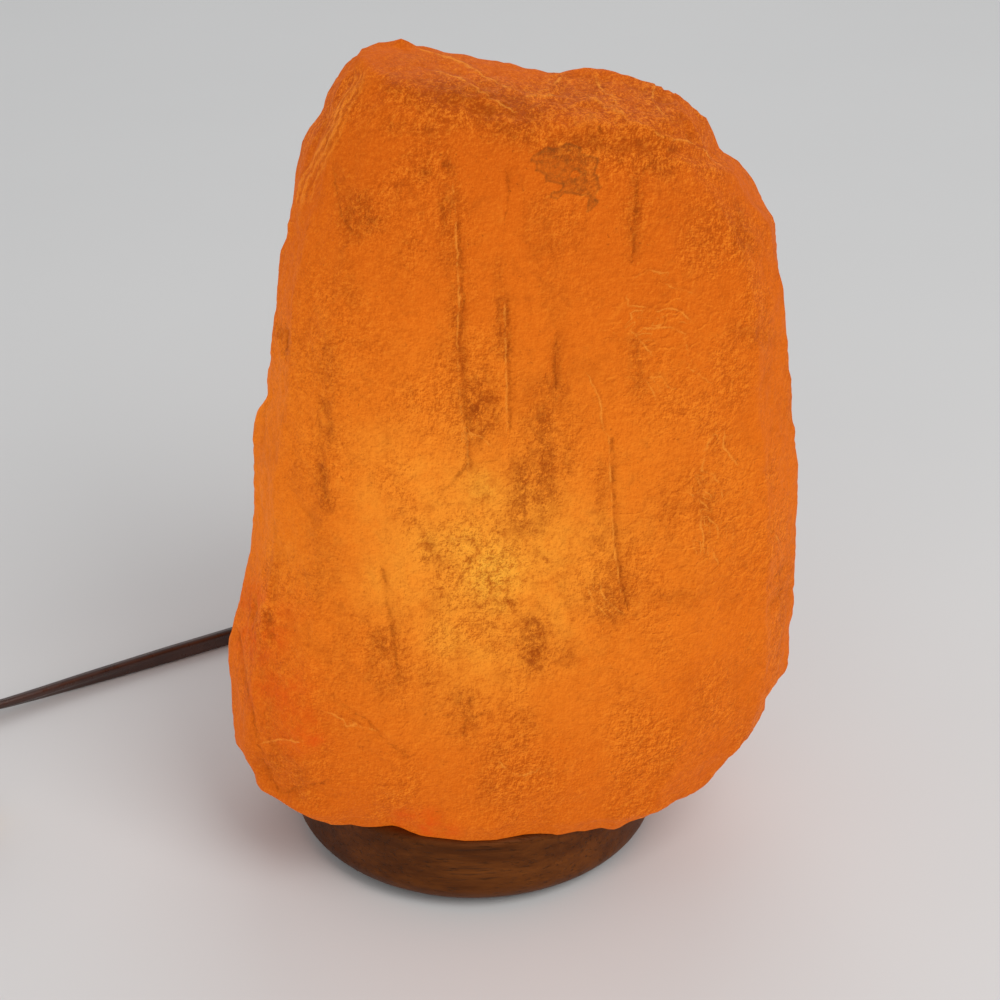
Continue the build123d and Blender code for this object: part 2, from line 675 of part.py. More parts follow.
# From the coil's last turn it runs wide of the coil, forward and down to the plug.
PLUG_APPROACH = ((17, 19, 0.8), (35, 21, 1.6), (54, 21, 1.2), (72, 20, 0))


def follow(route, approach):
    for angle, run, drop in approach:
        route.append(along(route[-1], angle, run) - Vector(0, 0, drop))
    return route


TO_COIL = follow([DIMMER_FAR, along(DIMMER_FAR, DIMMER_HEADING, DIMMER_EXIT_RUN)], COIL_APPROACH)
COIL_MIDDLE = TO_COIL[-1] + Vector(COIL_OUTER_R, -CORD_D, 0)


def plug_route(coil_end):
    route = follow([coil_end, along(coil_end, 0, COIL_END_RUN)], PLUG_APPROACH)
    lower = Vector(0, 0, route[-1].Z - PLUG_Z)
    return route[:-2] + [route[-2] - lower, route[-1] - lower]


def coil_stations():
    """Quarter-turn stations round the coil: angle, radius, height, outward and upward rates."""
    pitch_out = (COIL_OUTER_R - COIL_INNER_R) / COIL_TURNS_OUT
    quarters_in, quarters_out = round(4 * COIL_TURNS_IN), round(4 * COIL_TURNS_OUT)
    stations = []
    for k in range(quarters_in + 1):
        rate = -COIL_PITCH / (2 * pi) if 0 < k < quarters_in else 0.0
        stations.append((180 + 90 * k, COIL_OUTER_R - COIL_PITCH * k / 4, 0.0, rate, 0.0))
    angle = stations[-1][0]
    climb = 1.25 * COIL_PITCH / pi
    stations.append((angle + 90, COIL_INNER_R - COIL_DIP, COIL_PITCH / 2, 0.0, climb))
    for k in range(quarters_out + 1):
        rate = pitch_out / (2 * pi) if 0 < k < quarters_out else 0.0
        stations.append((angle + 180 + 90 * k, COIL_INNER_R + pitch_out * k / 4, COIL_PITCH, rate, 0.0))
    return stations


def biarc(start, start_way, end, end_way):
    """Two arcs that leave start and reach end along the given ways."""
    span = end - start
    straightness = 2 * (1 - start_way.dot(end_way))
    lean = span.dot(start_way + end_way)
    reach = (-lean + sqrt(lean ** 2 + straightness * span.dot(span))) / straightness
    first, last = start + start_way * reach, end - end_way * reach
    middle = (first + last) * 0.5
    return [Edge.make_tangent_arc(start, start_way, middle),
            Edge.make_tangent_arc(middle, (last - first).normalized(), end)]


def coil_path():
    """Turns inward on the lower layer, one step up, turns outward on the upper layer."""
    points, ways = [], []
    for angle, radius, height, rate, climb in coil_stations():
        c, s = cos(radians(angle)), sin(radians(angle))
        points.append(COIL_MIDDLE + Vector(radius * c, radius * s, height))
        ways.append(Vector(rate * c - radius * s, rate * s + radius * c, climb).normalized())
    edges = [Edge.make_line(points[0] - ways[0] * CORD_D, points[0])]
    for p, w, q, v in zip(points, ways, points[1:], ways[1:]):
        edges += biarc(p, w, q, v)
    edges.append(Edge.make_line(points[-1], points[-1] + ways[-1] * CORD_D))
    return Wire(edges)


def least_gap(path, step=2.0):
    """The least clear distance of the coil to itself, measured on points along it."""
    count = int(path.length / step)
    points = [path @ (k / count) for k in range(count + 1)]
    apart = int(4 * CORD_D / step)
    nearest = min((points[i] - points[j]).length
                  for i in range(len(points)) for j in range(i + apart, len(points)))
    return nearest - CORD_D


def cord_coil():
    path = coil_path()
    coil = sweep(Plane(path @ 0, z_dir=path % 0) * Circle(CORD_D / 2), path=path)
    share = coil.volume / (pi * CORD_D ** 2 / 4 * path.length)
    print("cord_coil length", round(path.length, 1), "volume share", round(share, 4))
    print("  least gap to itself", round(least_gap(path), 2))
    return coil, path.length, path @ 1


def coil_tie():
    """A band round the bundle of turns on the coil's right side."""
    near, far = COIL_INNER_R - CORD_D / 2 - TIE_GAP, COIL_OUTER_R - CLEAR
    low, high = TIE_THICK, COIL_LOW + COIL_PITCH + CORD_D / 2 + TIE_GAP
    band = bar(near - TIE_THICK, far + TIE_THICK, TIE_WIDTH, 0, high + TIE_THICK)
    band = fillet(band.edges().filter_by(Axis.Y), TIE_ROUND + TIE_THICK)
    space = bar(near, far, TIE_WIDTH, low, high)
    space = fillet(space.edges().filter_by(Axis.Y), TIE_ROUND)
    return Pos(COIL_MIDDLE.X, COIL_MIDDLE.Y, 0) * (band - space)


# ---------------------------------------------------------------- in-line dimmer, lying along X
def rounded_slab(inset, low, high):
    """The dimmer's outline drawn in by inset, from low to high."""
    half = DIMMER_LENGTH / 2 - inset
    slab = bar(-half, half, DIMMER_WIDTH - 2 * inset, low, high)
    return fillet(slab.edges().filter_by(Axis.Z), DIMMER_CORNER - inset)


def at_screws(piece):
    return ring_of(Pos(DIMMER_SCREW_X, 0, 0) * piece, 2)


def dimmer_base():
    shell = rounded_slab(0, 0, DIMMER_SPLIT)
    shell = fillet(shell.faces().sort_by(Axis.Z)[0].edges(), DIMMER_LOWER_ROUND)
    shell = shell - rounded_slab(DIMMER_WALL, DIMMER_WALL, DIMMER_SPLIT)
    for boss in at_screws(post(DIMMER_BOSS_R, DIMMER_WALL, BOARD_LOW)):
        shell = shell + boss
    for hole in at_screws(post(DIMMER_SCREW_R + CLEAR, 0, BOARD_LOW)):
        shell = shell - hole
    for sink in at_screws(post(DIMMER_HEAD_R + PART_CLEAR, 0, DIMMER_HEAD_SINK)):
        shell = shell - sink
    return shell - Pos(0, 0, DIMMER_CORD_Z) * lying_post(RELIEF_NECK_R + CLEAR, DIMMER_LENGTH)


def dimmer_cover():
    cup_r = WHEEL_R + WHEEL_GAP
    ceiling = DIMMER_HEIGHT - DIMMER_WALL
    screw_top = BOARD_TOP + DIMMER_SCREW_BITE
    shell = rounded_slab(0, DIMMER_SPLIT, DIMMER_HEIGHT)
    shell = fillet(shell.faces().sort_by(Axis.Z)[-1].edges(), DIMMER_UPPER_ROUND)
    shell = shell - rounded_slab(DIMMER_WALL, DIMMER_SPLIT, ceiling)
    shell = shell + post(cup_r + CUP_WALL, CUP_UNDER_Z, ceiling)
    for boss in at_screws(post(DIMMER_BOSS_R, BOARD_TOP, ceiling)):
        shell = shell + boss
    shell = shell - post(cup_r, CUP_FLOOR_Z, DIMMER_HEIGHT)
    shell = shell - post(SPINDLE_R + SPINDLE_HOLE_CLEAR, CUP_UNDER_Z, CUP_FLOOR_Z)
    for pilot in at_screws(post(DIMMER_SCREW_R + CLEAR, BOARD_TOP, screw_top + PILOT_SPARE)):
        shell = shell - pilot
    return shell


def dimmer_screws():
    screw = post(DIMMER_HEAD_R, DIMMER_HEAD_LOW, DIMMER_HEAD_SINK)
    screw = screw + post(DIMMER_SCREW_R, DIMMER_HEAD_SINK, BOARD_TOP + DIMMER_SCREW_BITE)
    return at_screws(screw)


def dimmer_board():
    board = bar(-BOARD_LENGTH / 2, BOARD_LENGTH / 2, BOARD_WIDTH, BOARD_LOW, BOARD_TOP)
    for hole in at_screws(post(DIMMER_SCREW_R + CLEAR, BOARD_LOW, BOARD_TOP)):
        board = board - hole
    return board


def dimmer_control():
    bearing = post(SPINDLE_R + SHAFT_CLEAR, BOARD_TOP + CONTROL_FLOOR, CONTROL_TOP)
    return post(CONTROL_R, BOARD_TOP, CONTROL_TOP) - bearing


def dimmer_wheel():
    wheel = post(WHEEL_R, WHEEL_LOW, WHEEL_TOP)
    wheel = chamfer(highest_rim(wheel), WHEEL_CHAMFER)
    notch = Pos(WHEEL_R + NOTCH_OUT, 0, 0) * post(NOTCH_R, WHEEL_LOW, WHEEL_TOP)
    for one in ring_of(notch, WHEEL_RIBS):
        wheel = wheel - one
    wheel = wheel - bar(POINTER_FROM_MIDDLE, WHEEL_R - POINTER_FROM_RIM, POINTER_WIDTH,
                        WHEEL_TOP - POINTER_DEPTH, WHEEL_TOP)
    return wheel + post(SPINDLE_R, BOARD_TOP + CONTROL_FLOOR + PART_CLEAR, WHEEL_LOW)


def on_board(middle_x, size):
    length, width, height = size
    return bar(middle_x - length / 2, middle_x + length / 2, width, BOARD_TOP, BOARD_TOP + height)


def dimmer_triac():
    return on_board(TRIAC_X, TRIAC_SIZE)


def dimmer_capacitor():
    body = on_board(CAPACITOR_X, CAPACITOR_SIZE)
    return fillet(body.edges().filter_by(Axis.Z), CAPACITOR_ROUND)


def dimmer_bushings():
    """A neck held in the casing's end and a taper outside it, at both ends."""
    taper = lying_cone(RELIEF_ROOT_R, RELIEF_TIP_R, RELIEF_LENGTH)
    neck = Pos(-RELIEF_NECK / 2, 0, 0) * lying_post(RELIEF_NECK_R, RELIEF_NECK)
    return ring_of(Pos(DIMMER_LENGTH / 2, 0, DIMMER_CORD_Z) * (taper + neck), 2)


# ---------------------------------------------------------------- plug, pointing along +X
def blade_block(low_x, high_x, clearance):
    """The space of each blade, widened by clearance."""
    blade = block(low_x, high_x, -BLADE_THICK / 2 - clearance, BLADE_THICK / 2 + clearance,
                  PLUG_Z - BLADE_WIDTH / 2 - clearance, PLUG_Z + BLADE_WIDTH / 2 + clearance)
    return [Pos(0, side * BLADE_SPACING / 2, 0) * blade for side in (-1, 1)]


def plug_blades():
    hole = Rot(90, 0, 0) * Cylinder(BLADE_HOLE_R, PLUG_BODY_WIDTH)
    hole = Pos(PLUG_TIP_X - BLADE_HOLE_FROM_TIP, 0, PLUG_Z) * hole
    blades = []
    for blade in blade_block(PLUG_BODY_LENGTH - BLADE_IN_BODY, PLUG_TIP_X, 0):
        tip_edges = blade.faces().sort_by(Axis.X)[-1].edges().filter_by(Axis.Z)
        blades.append(chamfer(tip_edges, BLADE_CHAMFER) - hole)
    return blades


def plug_body():
    rear = Plane.YZ * RectangleRounded(PLUG_REAR_WIDTH, PLUG_REAR_HEIGHT, PLUG_CORNER)
    front = RectangleRounded(PLUG_BODY_WIDTH, PLUG_BODY_HEIGHT, PLUG_CORNER)
    body = Pos(0, 0, PLUG_Z) * loft([rear, Plane.YZ.offset(PLUG_BODY_LENGTH) * front])
    for slot in blade_block(PLUG_BODY_LENGTH - BLADE_IN_BODY, PLUG_BODY_LENGTH, SLOT_CLEAR):
        body = body - slot
    return body


def plug_face():
    shape = RectangleRounded(PLUG_BODY_WIDTH - 2 * PLUG_FACE_INSET, PLUG_BODY_HEIGHT - 2 * PLUG_FACE_INSET,
                             PLUG_CORNER - PLUG_FACE_INSET)
    face = Pos(0, 0, PLUG_Z) * extrude(Plane.YZ.offset(PLUG_BODY_LENGTH) * shape, PLUG_FACE_THICK)
    for slot in blade_block(PLUG_BODY_LENGTH, PLUG_BODY_LENGTH + PLUG_FACE_THICK, SLOT_CLEAR):
        face = face - slot
    return face


def plug_strain_relief():
    taper = lying_cone(RELIEF_ROOT_R, RELIEF_TIP_R, PLUG_RELIEF_LENGTH)
    return Pos(0, 0, PLUG_Z) * Rot(0, 0, 180) * taper


# ---------------------------------------------------------------- all nodes
def save_stone_and_base():
    save("salt_crystal", salt_crystal())
    save("wooden_base", wooden_base())
    for name, piece in (("base_screws", base_screw()), ("screw_plugs", screw_plug())):
        save(name, *ring_of(Pos(SCREW_CIRCLE_R, 0, 0) * piece, SCREW_COUNT, SCREW_ANGLE))
    save("rubber_feet", *ring_of(Pos(FOOT_CIRCLE_R, 0, 0) * rubber_foot(), FOOT_COUNT, FOOT_ANGLE))


def save_light_unit():
    save("holder_cup", holder_cup())
    save("holder_sleeve", holder_sleeve())
    save("holder_core", holder_core())
    save("thread_shell", thread_shell())
    save("centre_contact", centre_contact())
    save("terminal_plates", *terminal_plates())
    save("terminal_screws", *terminal_screws())
    save("holder_wires", *holder_wires())
    save("holder_boot", holder_boot())
    save("clip_collar", clip_collar())
    for name, piece in zip(("clip_right", "clip_left"), ring_of(clip(), 2)):
        save(name, piece)


def save_bulb():
    save("bulb_glass", bulb_glass())
    save("bulb_cap", bulb_cap())
    save("bulb_insulator", bulb_insulator())
    save("bulb_tip", bulb_tip())
    save("bulb_stem", bulb_stem())
    save("bulb_leads", *bulb_leads())
    save("bulb_filament", bulb_filament())


def save_cord_set():
    save("cord_bushing", cord_bushing())
    coil, coil_length, coil_end = cord_coil()
    save("cord_coil", coil)
    save("coil_tie", coil_tie())
    to_plug = plug_route(coil_end)
    lead, lead_length = lead_in_base()
    save("lead_in_base", lead)
    total = coil_length + lead_length
    for name, route in (("cord_to_dimmer", TO_DIMMER), ("cord_to_coil", TO_COIL), ("cord_to_plug", to_plug)):
        solid, length = cord(name, route)
        save(name, solid)
        total += length
    covered = BUSHING_END - BUSHING_START + DIMMER_LENGTH + 2 * RELIEF_LENGTH + PLUG_RELIEF_LENGTH
    print("whole cord", round(total + covered))
    return to_plug


def save_dimmer():
    save_at(DIMMER_PLACE, "dimmer_base", dimmer_base())
    save_at(DIMMER_PLACE, "dimmer_cover", dimmer_cover())
    save_at(DIMMER_PLACE, "dimmer_screws", *dimmer_screws())
    save_at(DIMMER_PLACE, "dimmer_board", dimmer_board())
    save_at(DIMMER_PLACE, "dimmer_control", dimmer_control())
    save_at(DIMMER_PLACE, "dimmer_wheel", dimmer_wheel())
    save_at(DIMMER_PLACE, "dimmer_triac", dimmer_triac())
    save_at(DIMMER_PLACE, "dimmer_capacitor", dimmer_capacitor())
    save_at(DIMMER_PLACE, "dimmer_bushings", *dimmer_bushings())


def save_plug(to_plug):
    way = heading(to_plug[-2], to_plug[-1])
    start = along(to_plug[-1], way, PLUG_RELIEF_LENGTH)
    place = Pos(start.X, start.Y, 0) * Rot(0, 0, way)
    save_at(place, "plug_body", plug_body())
    save_at(place, "plug_face", plug_face())
    save_at(place, "plug_blades", *plug_blades())
    save_at(place, "plug_strain_relief", plug_strain_relief())


def save_at(place, name, *pieces):
    save(name, *[place * piece for piece in pieces])


save_stone_and_base()
save_light_unit()
save_bulb()
save_dimmer()
save_plug(save_cord_set())
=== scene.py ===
from math import atan2, cos, degrees, pi, radians, sin

import bpy
import numpy as np
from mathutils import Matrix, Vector, noise
from mathutils.bvhtree import BVHTree


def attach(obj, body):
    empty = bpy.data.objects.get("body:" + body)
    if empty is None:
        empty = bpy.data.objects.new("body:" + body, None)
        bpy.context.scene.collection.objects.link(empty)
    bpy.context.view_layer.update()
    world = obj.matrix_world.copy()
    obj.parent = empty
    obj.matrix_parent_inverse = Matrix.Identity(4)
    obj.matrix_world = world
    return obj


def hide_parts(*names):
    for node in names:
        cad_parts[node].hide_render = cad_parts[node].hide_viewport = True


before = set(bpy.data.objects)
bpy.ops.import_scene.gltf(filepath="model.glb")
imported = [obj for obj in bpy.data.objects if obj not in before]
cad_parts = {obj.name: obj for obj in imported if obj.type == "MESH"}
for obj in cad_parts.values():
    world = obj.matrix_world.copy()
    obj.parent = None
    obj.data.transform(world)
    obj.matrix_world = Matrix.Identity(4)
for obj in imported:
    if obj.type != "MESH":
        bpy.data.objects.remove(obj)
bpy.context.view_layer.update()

# Sizes in millimetres, angles in degrees. The base's axis stands at x = AXIS_X.
AXIS_X = -10.0
SEAT_Z = 25.0
BORE_R = 23.0
BORE_TOP_Z = 142.0
BORE_END_ROUND = 6.0
SCREW_CIRCLE_R = 32.0
SCREW_COUNT = 3
SCREW_ANGLE = 165.0
PLUG_HOLE_R = 3.5
PLUG_HOLE_DEPTH = 22.0
BULB_MIDDLE_Z = 110.0
GROOVE_ANGLE = 105.0
BUSHING_END = 66.0
GROOVE_Z = 6.5
BORE_SIDES = 64
BORE_MARGIN = 0.5
PLUG_HOLE_ROUND = 0.3
CUTTER_BELOW = 5.0

# The flat cord's width, thickness and mean width, and the round cord of the solids, whose route it takes.
CORD_WIDTH = 6.0
CORD_THICK = 3.1
CORD_D = 6.2
CORD_LOW = 3.2
DIMMER_CORD_Z = 5.4
DIMMER_REACH = 50.0
COIL_LOW = 4.1
COIL_PITCH = 6.9
COIL_INNER_R = 25.0
COIL_DIP = 1.8
COIL_TURNS_IN = 3.0
COIL_TURNS_UP = 0.5
COIL_TURNS_OUT = 2.75
COIL_STEP = 15.0
PLUG_Z = 7.0
STRAIGHT_FROM_BASE = 14.0
STRAIGHT_FROM_DIMMER = 13.0
STRAIGHT_FROM_COIL = 12.8

# The camera of the photo, which looks along +Y and down.
CAMERA_PLACE = (-2.4, -553.3, 410.8)
CAMERA_DOWN = 29.0
CAMERA_LENS = 80.8
CAMERA_SENSOR = 36.0
PICTURE = 1000


def metres(x, y, z):
    """A point measured from the base's axis, in the shared frame."""
    return Vector((x + AXIS_X, y, z)) / 1000


# ---------------------------------------------------------------- camera

camera_data = bpy.data.cameras.new("camera")
camera_data.lens = CAMERA_LENS
camera_data.sensor_width = CAMERA_SENSOR
camera = bpy.data.objects.new("camera", camera_data)
camera.location = Vector(CAMERA_PLACE) / 1000
camera.rotation_euler = (radians(90 - CAMERA_DOWN), 0, 0)
bpy.context.scene.collection.objects.link(camera)
bpy.context.scene.camera = camera
bpy.context.scene.view_settings.view_transform = "Standard"


def in_picture(points):
    """Where points in millimetres fall in the picture, in pixels from its upper left corner."""
    offset = points - np.array(CAMERA_PLACE)
    c, s = cos(radians(CAMERA_DOWN)), sin(radians(CAMERA_DOWN))
    depth = offset[:, 1] * c - offset[:, 2] * s
    rise = offset[:, 1] * s + offset[:, 2] * c
    focal = CAMERA_LENS / CAMERA_SENSOR * PICTURE
    return np.stack([PICTURE / 2 + focal * offset[:, 0] / depth,
                     PICTURE / 2 - focal * rise / depth], 1)


# ---------------------------------------------------------------- shaders

class Shader:
    """A material built of nodes, placed on the piece by its own coordinates. Sizes are millimetres."""

    def __init__(self, name):
        self.material = bpy.data.materials.new(name)
        self.material.use_nodes = True
        self.tree = self.material.node_tree
        self.surface = self.tree.nodes["Principled BSDF"]
        self.place = self.add("ShaderNodeTexCoord").outputs["Object"]

    def add(self, kind, inputs=None, **settings):
        made = self.tree.nodes.new(kind)
        for key, value in settings.items():
            setattr(made, key, value)
        for key, value in (inputs or {}).items():
            self.join(value, made.inputs[key])
        return made

    def join(self, value, socket):
        if isinstance(value, bpy.types.NodeSocket):
            self.tree.links.new(value, socket)
        else:
            socket.default_value = value

    def noise(self, size, detail=4, rough=0.55, stretch=(1, 1, 1), warp=0.0, place=None):
        """A field of noise with lumps of about the size, at the piece's own place or another."""
        scale = [1000 / (size * s) for s in stretch]
        at = self.add("ShaderNodeMapping", {"Vector": place or self.place, "Scale": scale})
        made = self.add("ShaderNodeTexNoise", {"Vector": at.outputs["Vector"], "Scale": 1.0, "Detail": detail,
                                               "Roughness": rough, "Distortion": warp})
        return made.outputs["Fac"]

    def math(self, operation, a, b=0.0):
        return self.add("ShaderNodeMath", {0: a, 1: b}, operation=operation).outputs[0]

    def plus(self, a, b):
        return self.math("ADD", a, b)

    def times(self, a, b):
        return self.math("MULTIPLY", a, b)

    def range(self, value, low, high, to_low=0.0, to_high=1.0):
        """The value brought from one range to another, and kept within it."""
        made = self.add("ShaderNodeMapRange", {"Value": value, "From Min": low, "From Max": high,
                                               "To Min": to_low, "To Max": to_high})
        return made.outputs["Result"]

    def mix(self, share, a, b):
        made = self.add("ShaderNodeMix", data_type="RGBA")
        colours = [s for s in made.inputs if s.type == "RGBA"]
        self.join(share, made.inputs[0])
        self.join(a if isinstance(a, bpy.types.NodeSocket) else (*a, 1), colours[0])
        self.join(b if isinstance(b, bpy.types.NodeSocket) else (*b, 1), colours[1])
        return [s for s in made.outputs if s.type == "RGBA"][0]

    def ramp(self, value, stops):
        made = self.add("ShaderNodeValToRGB", {"Fac": value})
        ends = made.color_ramp.elements
        for place, colour in stops[1:-1]:
            ends.new(place).color = (*colour, 1)
        ends[0].position, ends[0].color = stops[0][0], (*stops[0][1], 1)
        ends[-1].position, ends[-1].color = stops[-1][0], (*stops[-1][1], 1)
        return made.outputs["Color"]

    def layer(self, name):
        """A value that the piece's own points carry."""
        return self.add("ShaderNodeAttribute", attribute_name=name).outputs["Fac"]

    def bump(self, height, depth, strength=1.0, under=None):
        inputs = {"Height": height, "Distance": depth / 1000, "Strength": strength}
        if under:
            inputs["Normal"] = under
        return self.add("ShaderNodeBump", inputs).outputs["Normal"]

    def set(self, **inputs):
        for key, value in inputs.items():
            self.join(value, self.surface.inputs[key.replace("_", " ")])
        return self.material


def plain(name, dark, light, rough, size=6.0, metallic=0.0, bump=0.02, grain=0.6):
    """A finish of two near shades, with its own roughness and fine bump."""
    s = Shader(name)
    return s.set(Base_Color=s.mix(s.range(s.noise(size), 0.3, 0.7), dark, light),
                 Roughness=s.range(s.noise(size / 3), 0.2, 0.8, rough - 0.06, rough + 0.06),
                 Metallic=metallic, Normal=s.bump(s.noise(grain, 2), bump))


# The deep and light salt colours serve both as the salt's own darker and lighter tones and as painted shade
# and highlight on its relief.
SALT_DEEP, SALT_LIGHT, SALT_HOT = (0.36, 0.056, 0.0030), (1.0, 0.31, 0.026), (1.0, 0.50, 0.050)
# The pale colour here is painted highlight along ridge lines.
SALT_RED, SALT_PALE_HIGHLIGHT, SALT_STRIPE = (0.76, 0.078, 0.0045), (1.0, 0.36, 0.045), (1.0, 0.34, 0.035)
DIRT, SPECK = (0.30, 0.050, 0.0040), (0.22, 0.035, 0.003)
# The furrow colour here is painted shade along the grooves and cracks.
STAINED, FURROW_SHADE = (0.20, 0.055, 0.0085), (0.24, 0.038, 0.003)
# The salt's glow from its nearest to its furthest place from the bulb, and those distances in metres.
GLOW = [(0.0, (0.92, 0.290, 0.024)), (0.08, (0.87, 0.232, 0.017)), (0.18, (0.80, 0.182, 0.0112)),
        (0.38, (0.74, 0.149, 0.0082)), (0.66, (0.67, 0.122, 0.0062)), (1.0, (0.59, 0.102, 0.0050))]
GLOW_FROM, GLOW_TO = 0.050, 0.135
GLOW_STRENGTH = 0.77
BRIGHTEST = metres(5, -4, BULB_MIDDLE_Z + 3)
# The fine relief gets painted highlight and painted shade by how much it falls over this step to the right
# and down, in metres.
EMBOSS_STEP = (0.00022, 0.0, -0.00028)
# How far the scale edges are bent aside in metres, and how wide the crest's stripes are in millimetres.
EDGE_BEND = (0.0045, 0.0045, 0.0045)
CREST_STRIPE = 1.5


class LitSalt(Shader):
    """Rock salt lit from inside: its glow by distance from the bulb, tinted in turn by all that marks it, and
    by painted highlights and shade on its relief and lines.
    """

    def __init__(self):
        super().__init__("lit_salt")
        self.rough, self.scaly = self.layer("rough"), self.layer("scaly")
        self.coarse = self.noise(4.2, 6, 0.72, warp=0.4)
        self.mottle = self.noise(1.9, 6, 0.82)
        self.height = self.height_at(self.place)
        self.lit = self.glow()
        self.shade_relief_and_mottle()
        self.tint_spots()
        self.tint_stain()
        lines = self.draw_lines()
        self.stripe_crest()
        under = self.bump(self.plus(self.coarse, self.times(lines, 0.5)), 1.2, 0.7)
        self.set(Base_Color=self.mix(0.75, self.lit, (0, 0, 0)), Specular_IOR_Level=0.08,
                 Roughness=self.range(self.coarse, 0.3, 0.7, 0.60, 0.80),
                 Emission_Color=self.lit, Emission_Strength=GLOW_STRENGTH,
                 Normal=self.bump(self.height, 0.5, 0.8, under), Specular_Tint=(1.0, 0.55, 0.25, 1.0))

    def tint(self, share, colour):
        self.lit = self.mix(share, self.lit, colour)

    def height_at(self, place):
        """The fine relief at a place: grit, soft folds and, where it is scaly, curved edges."""
        grit = self.noise(1.0, 4, 0.75, place=place)
        folds = self.noise(3.4, 5, 0.68, (1.0, 1.0, 1.3), 0.3, place)
        wave = self.add("ShaderNodeTexNoise", {"Vector": place, "Scale": 230.0, "Detail": 3.0})
        bent = self.add("ShaderNodeVectorMath", {0: wave.outputs["Color"], 1: EDGE_BEND, 2: place},
                        operation="MULTIPLY_ADD").outputs["Vector"]
        tiles = self.add("ShaderNodeMapping", {"Vector": bent, "Scale": (170.0, 200.0, 290.0)})
        edges = self.add("ShaderNodeTexVoronoi", {"Vector": tiles.outputs["Vector"], "Scale": 1.0},
                         feature="DISTANCE_TO_EDGE").outputs["Distance"]
        some = self.range(self.noise(5.0, 2, 0.5, place=place), 0.42, 0.58)
        edges = self.times(self.range(edges, 0.13, 0.0), some)
        height = self.times(grit, self.plus(0.20, self.times(self.rough, 0.55)))
        height = self.plus(height, self.times(folds, self.plus(0.16, self.times(self.rough, 1.25))))
        return self.plus(height, self.times(self.times(edges, self.scaly), 0.10))

    def glow(self):
        """The glow's colour, with its distance from the bulb made uneven, and painted hot spots of brighter
        light on the front.
        """
        away = self.add("ShaderNodeVectorMath", {0: self.place, 1: BRIGHTEST}, operation="DISTANCE")
        uneven = self.range(self.noise(34, 4, 0.6), 0.25, 0.75, -0.009, 0.009)
        reach = self.plus(away.outputs["Value"], uneven)
        reach = self.plus(reach, self.range(self.coarse, 0.3, 0.7, -0.003, 0.003))
        glow = self.ramp(self.range(reach, GLOW_FROM, GLOW_TO), GLOW)
        return self.mix(self.times(self.layer("hot"), self.range(self.mottle, 0.32, 0.62, 0.25, 1.0)),
                        glow, SALT_HOT)

    def shade_relief_and_mottle(self):
        """Painted highlight where the fine relief falls to the right and down and on ridges, and painted
        shade where it rises and in hollows; lighter and darker mottling where the salt is rough, and darker
        where the coarse noise is low."""
        beyond = self.add("ShaderNodeVectorMath", {0: self.place, 1: EMBOSS_STEP}, operation="ADD")
        slope = self.math("SUBTRACT", self.height, self.height_at(beyond.outputs["Vector"]))
        # Painted shade where the fine relief rises over the step, and painted highlight where it falls.
        self.tint(self.range(slope, 0.0, -0.085, 0.0, 0.55), SALT_DEEP)
        self.tint(self.range(slope, 0.0, 0.085, 0.0, 0.45), SALT_LIGHT)
        rougher = self.plus(0.20, self.times(self.rough, 0.60))
        self.tint(self.times(rougher, self.range(self.mottle, 0.52, 0.34)), SALT_DEEP)
        self.tint(self.times(rougher, self.range(self.mottle, 0.54, 0.70, 0.0, 0.6)), SALT_LIGHT)
        self.tint(self.range(self.coarse, 0.46, 0.28, 0.0, 0.34), SALT_DEEP)
        # Painted highlight on raised relief, and painted shade in its hollows.
        relief = self.layer("relief")
        self.tint(self.range(relief, 0.25, 1.6, 0.0, 0.45), SALT_LIGHT)
        self.tint(self.range(relief, -0.2, -1.3, 0.0, 0.50), SALT_DEEP)

    def tint_spots(self):
        """Red places, grime and single dark specks."""
        red = self.range(self.noise(7, 5, 0.65), 0.34, 0.62, 0.1, 0.9)
        self.tint(self.times(self.layer("red"), red), SALT_RED)
        grime = self.range(self.noise(1.7, 7, 0.85, (1, 1, 1.3)), 0.42, 0.56, 0.10, 1.0)
        self.tint(self.times(self.layer("dirt"), grime), DIRT)
        specks = self.times(self.range(self.noise(1.2, 3, 0.6), 0.64, 0.72),
                            self.range(self.noise(14), 0.42, 0.6))
        self.tint(self.times(specks, 0.5), SPECK)

    def tint_stain(self):
        """The dark stain under the top's edge, mottled inside and darker at its rim."""
        layer = self.layer("stain")
        stain = self.range(layer, 0.35, 0.62)
        rim = self.times(stain, self.range(layer, 0.80, 0.5, 0.0, 0.35))
        inside = self.times(stain, self.range(self.mottle, 0.36, 0.60, 0.60, 0.12))
        self.tint(self.plus(inside, rim), STAINED)

    def line_of(self, name, width, wobble):
        """How much a point lies on the lines drawn in a pair of layers, and its offset from them."""
        shift = self.range(self.noise(2.6, 5, 0.75), 0.25, 0.75, -wobble, wobble)
        shift = self.plus(self.layer(name + "_side"), shift)
        thin = self.range(self.math("ABSOLUTE", shift), 0.0, width, 1.0, 0.0)
        broken = self.range(self.noise(4.5, 4, 0.7), 0.42, 0.56)
        near = self.range(self.layer(name + "_near"), 0.2, 0.75)
        return self.times(self.times(thin, broken), near), shift

    def draw_lines(self):
        """Painted highlights along the pale ridge edges with painted shade beside them, and painted shade
        along the dark furrows and cracks. Returns how high the lines stand.
        """
        pale, offset = self.line_of("pale", 0.40, 0.45)
        # Painted highlight along the pale ridge lines.
        self.tint(self.times(pale, 0.5), SALT_PALE_HIGHLIGHT)
        # Painted shade beside the pale lines.
        shade = self.times(self.range(offset, 0.1, 0.5), self.range(offset, 1.3, 0.5))
        shade = self.times(shade, self.range(self.layer("pale_near"), 0.4, 0.9, 0.0, 0.34))
        self.tint(self.times(shade, self.range(self.mottle, 0.62, 0.40)), SALT_DEEP)
        # Painted shade along the grooves and cracks.
        dark = self.line_of("dark", 0.5, 0.8)[0]
        self.tint(self.times(dark, self.range(self.mottle, 0.62, 0.40, 0.1, 0.6)), FURROW_SHADE)
        return self.math("SUBTRACT", pale, dark)

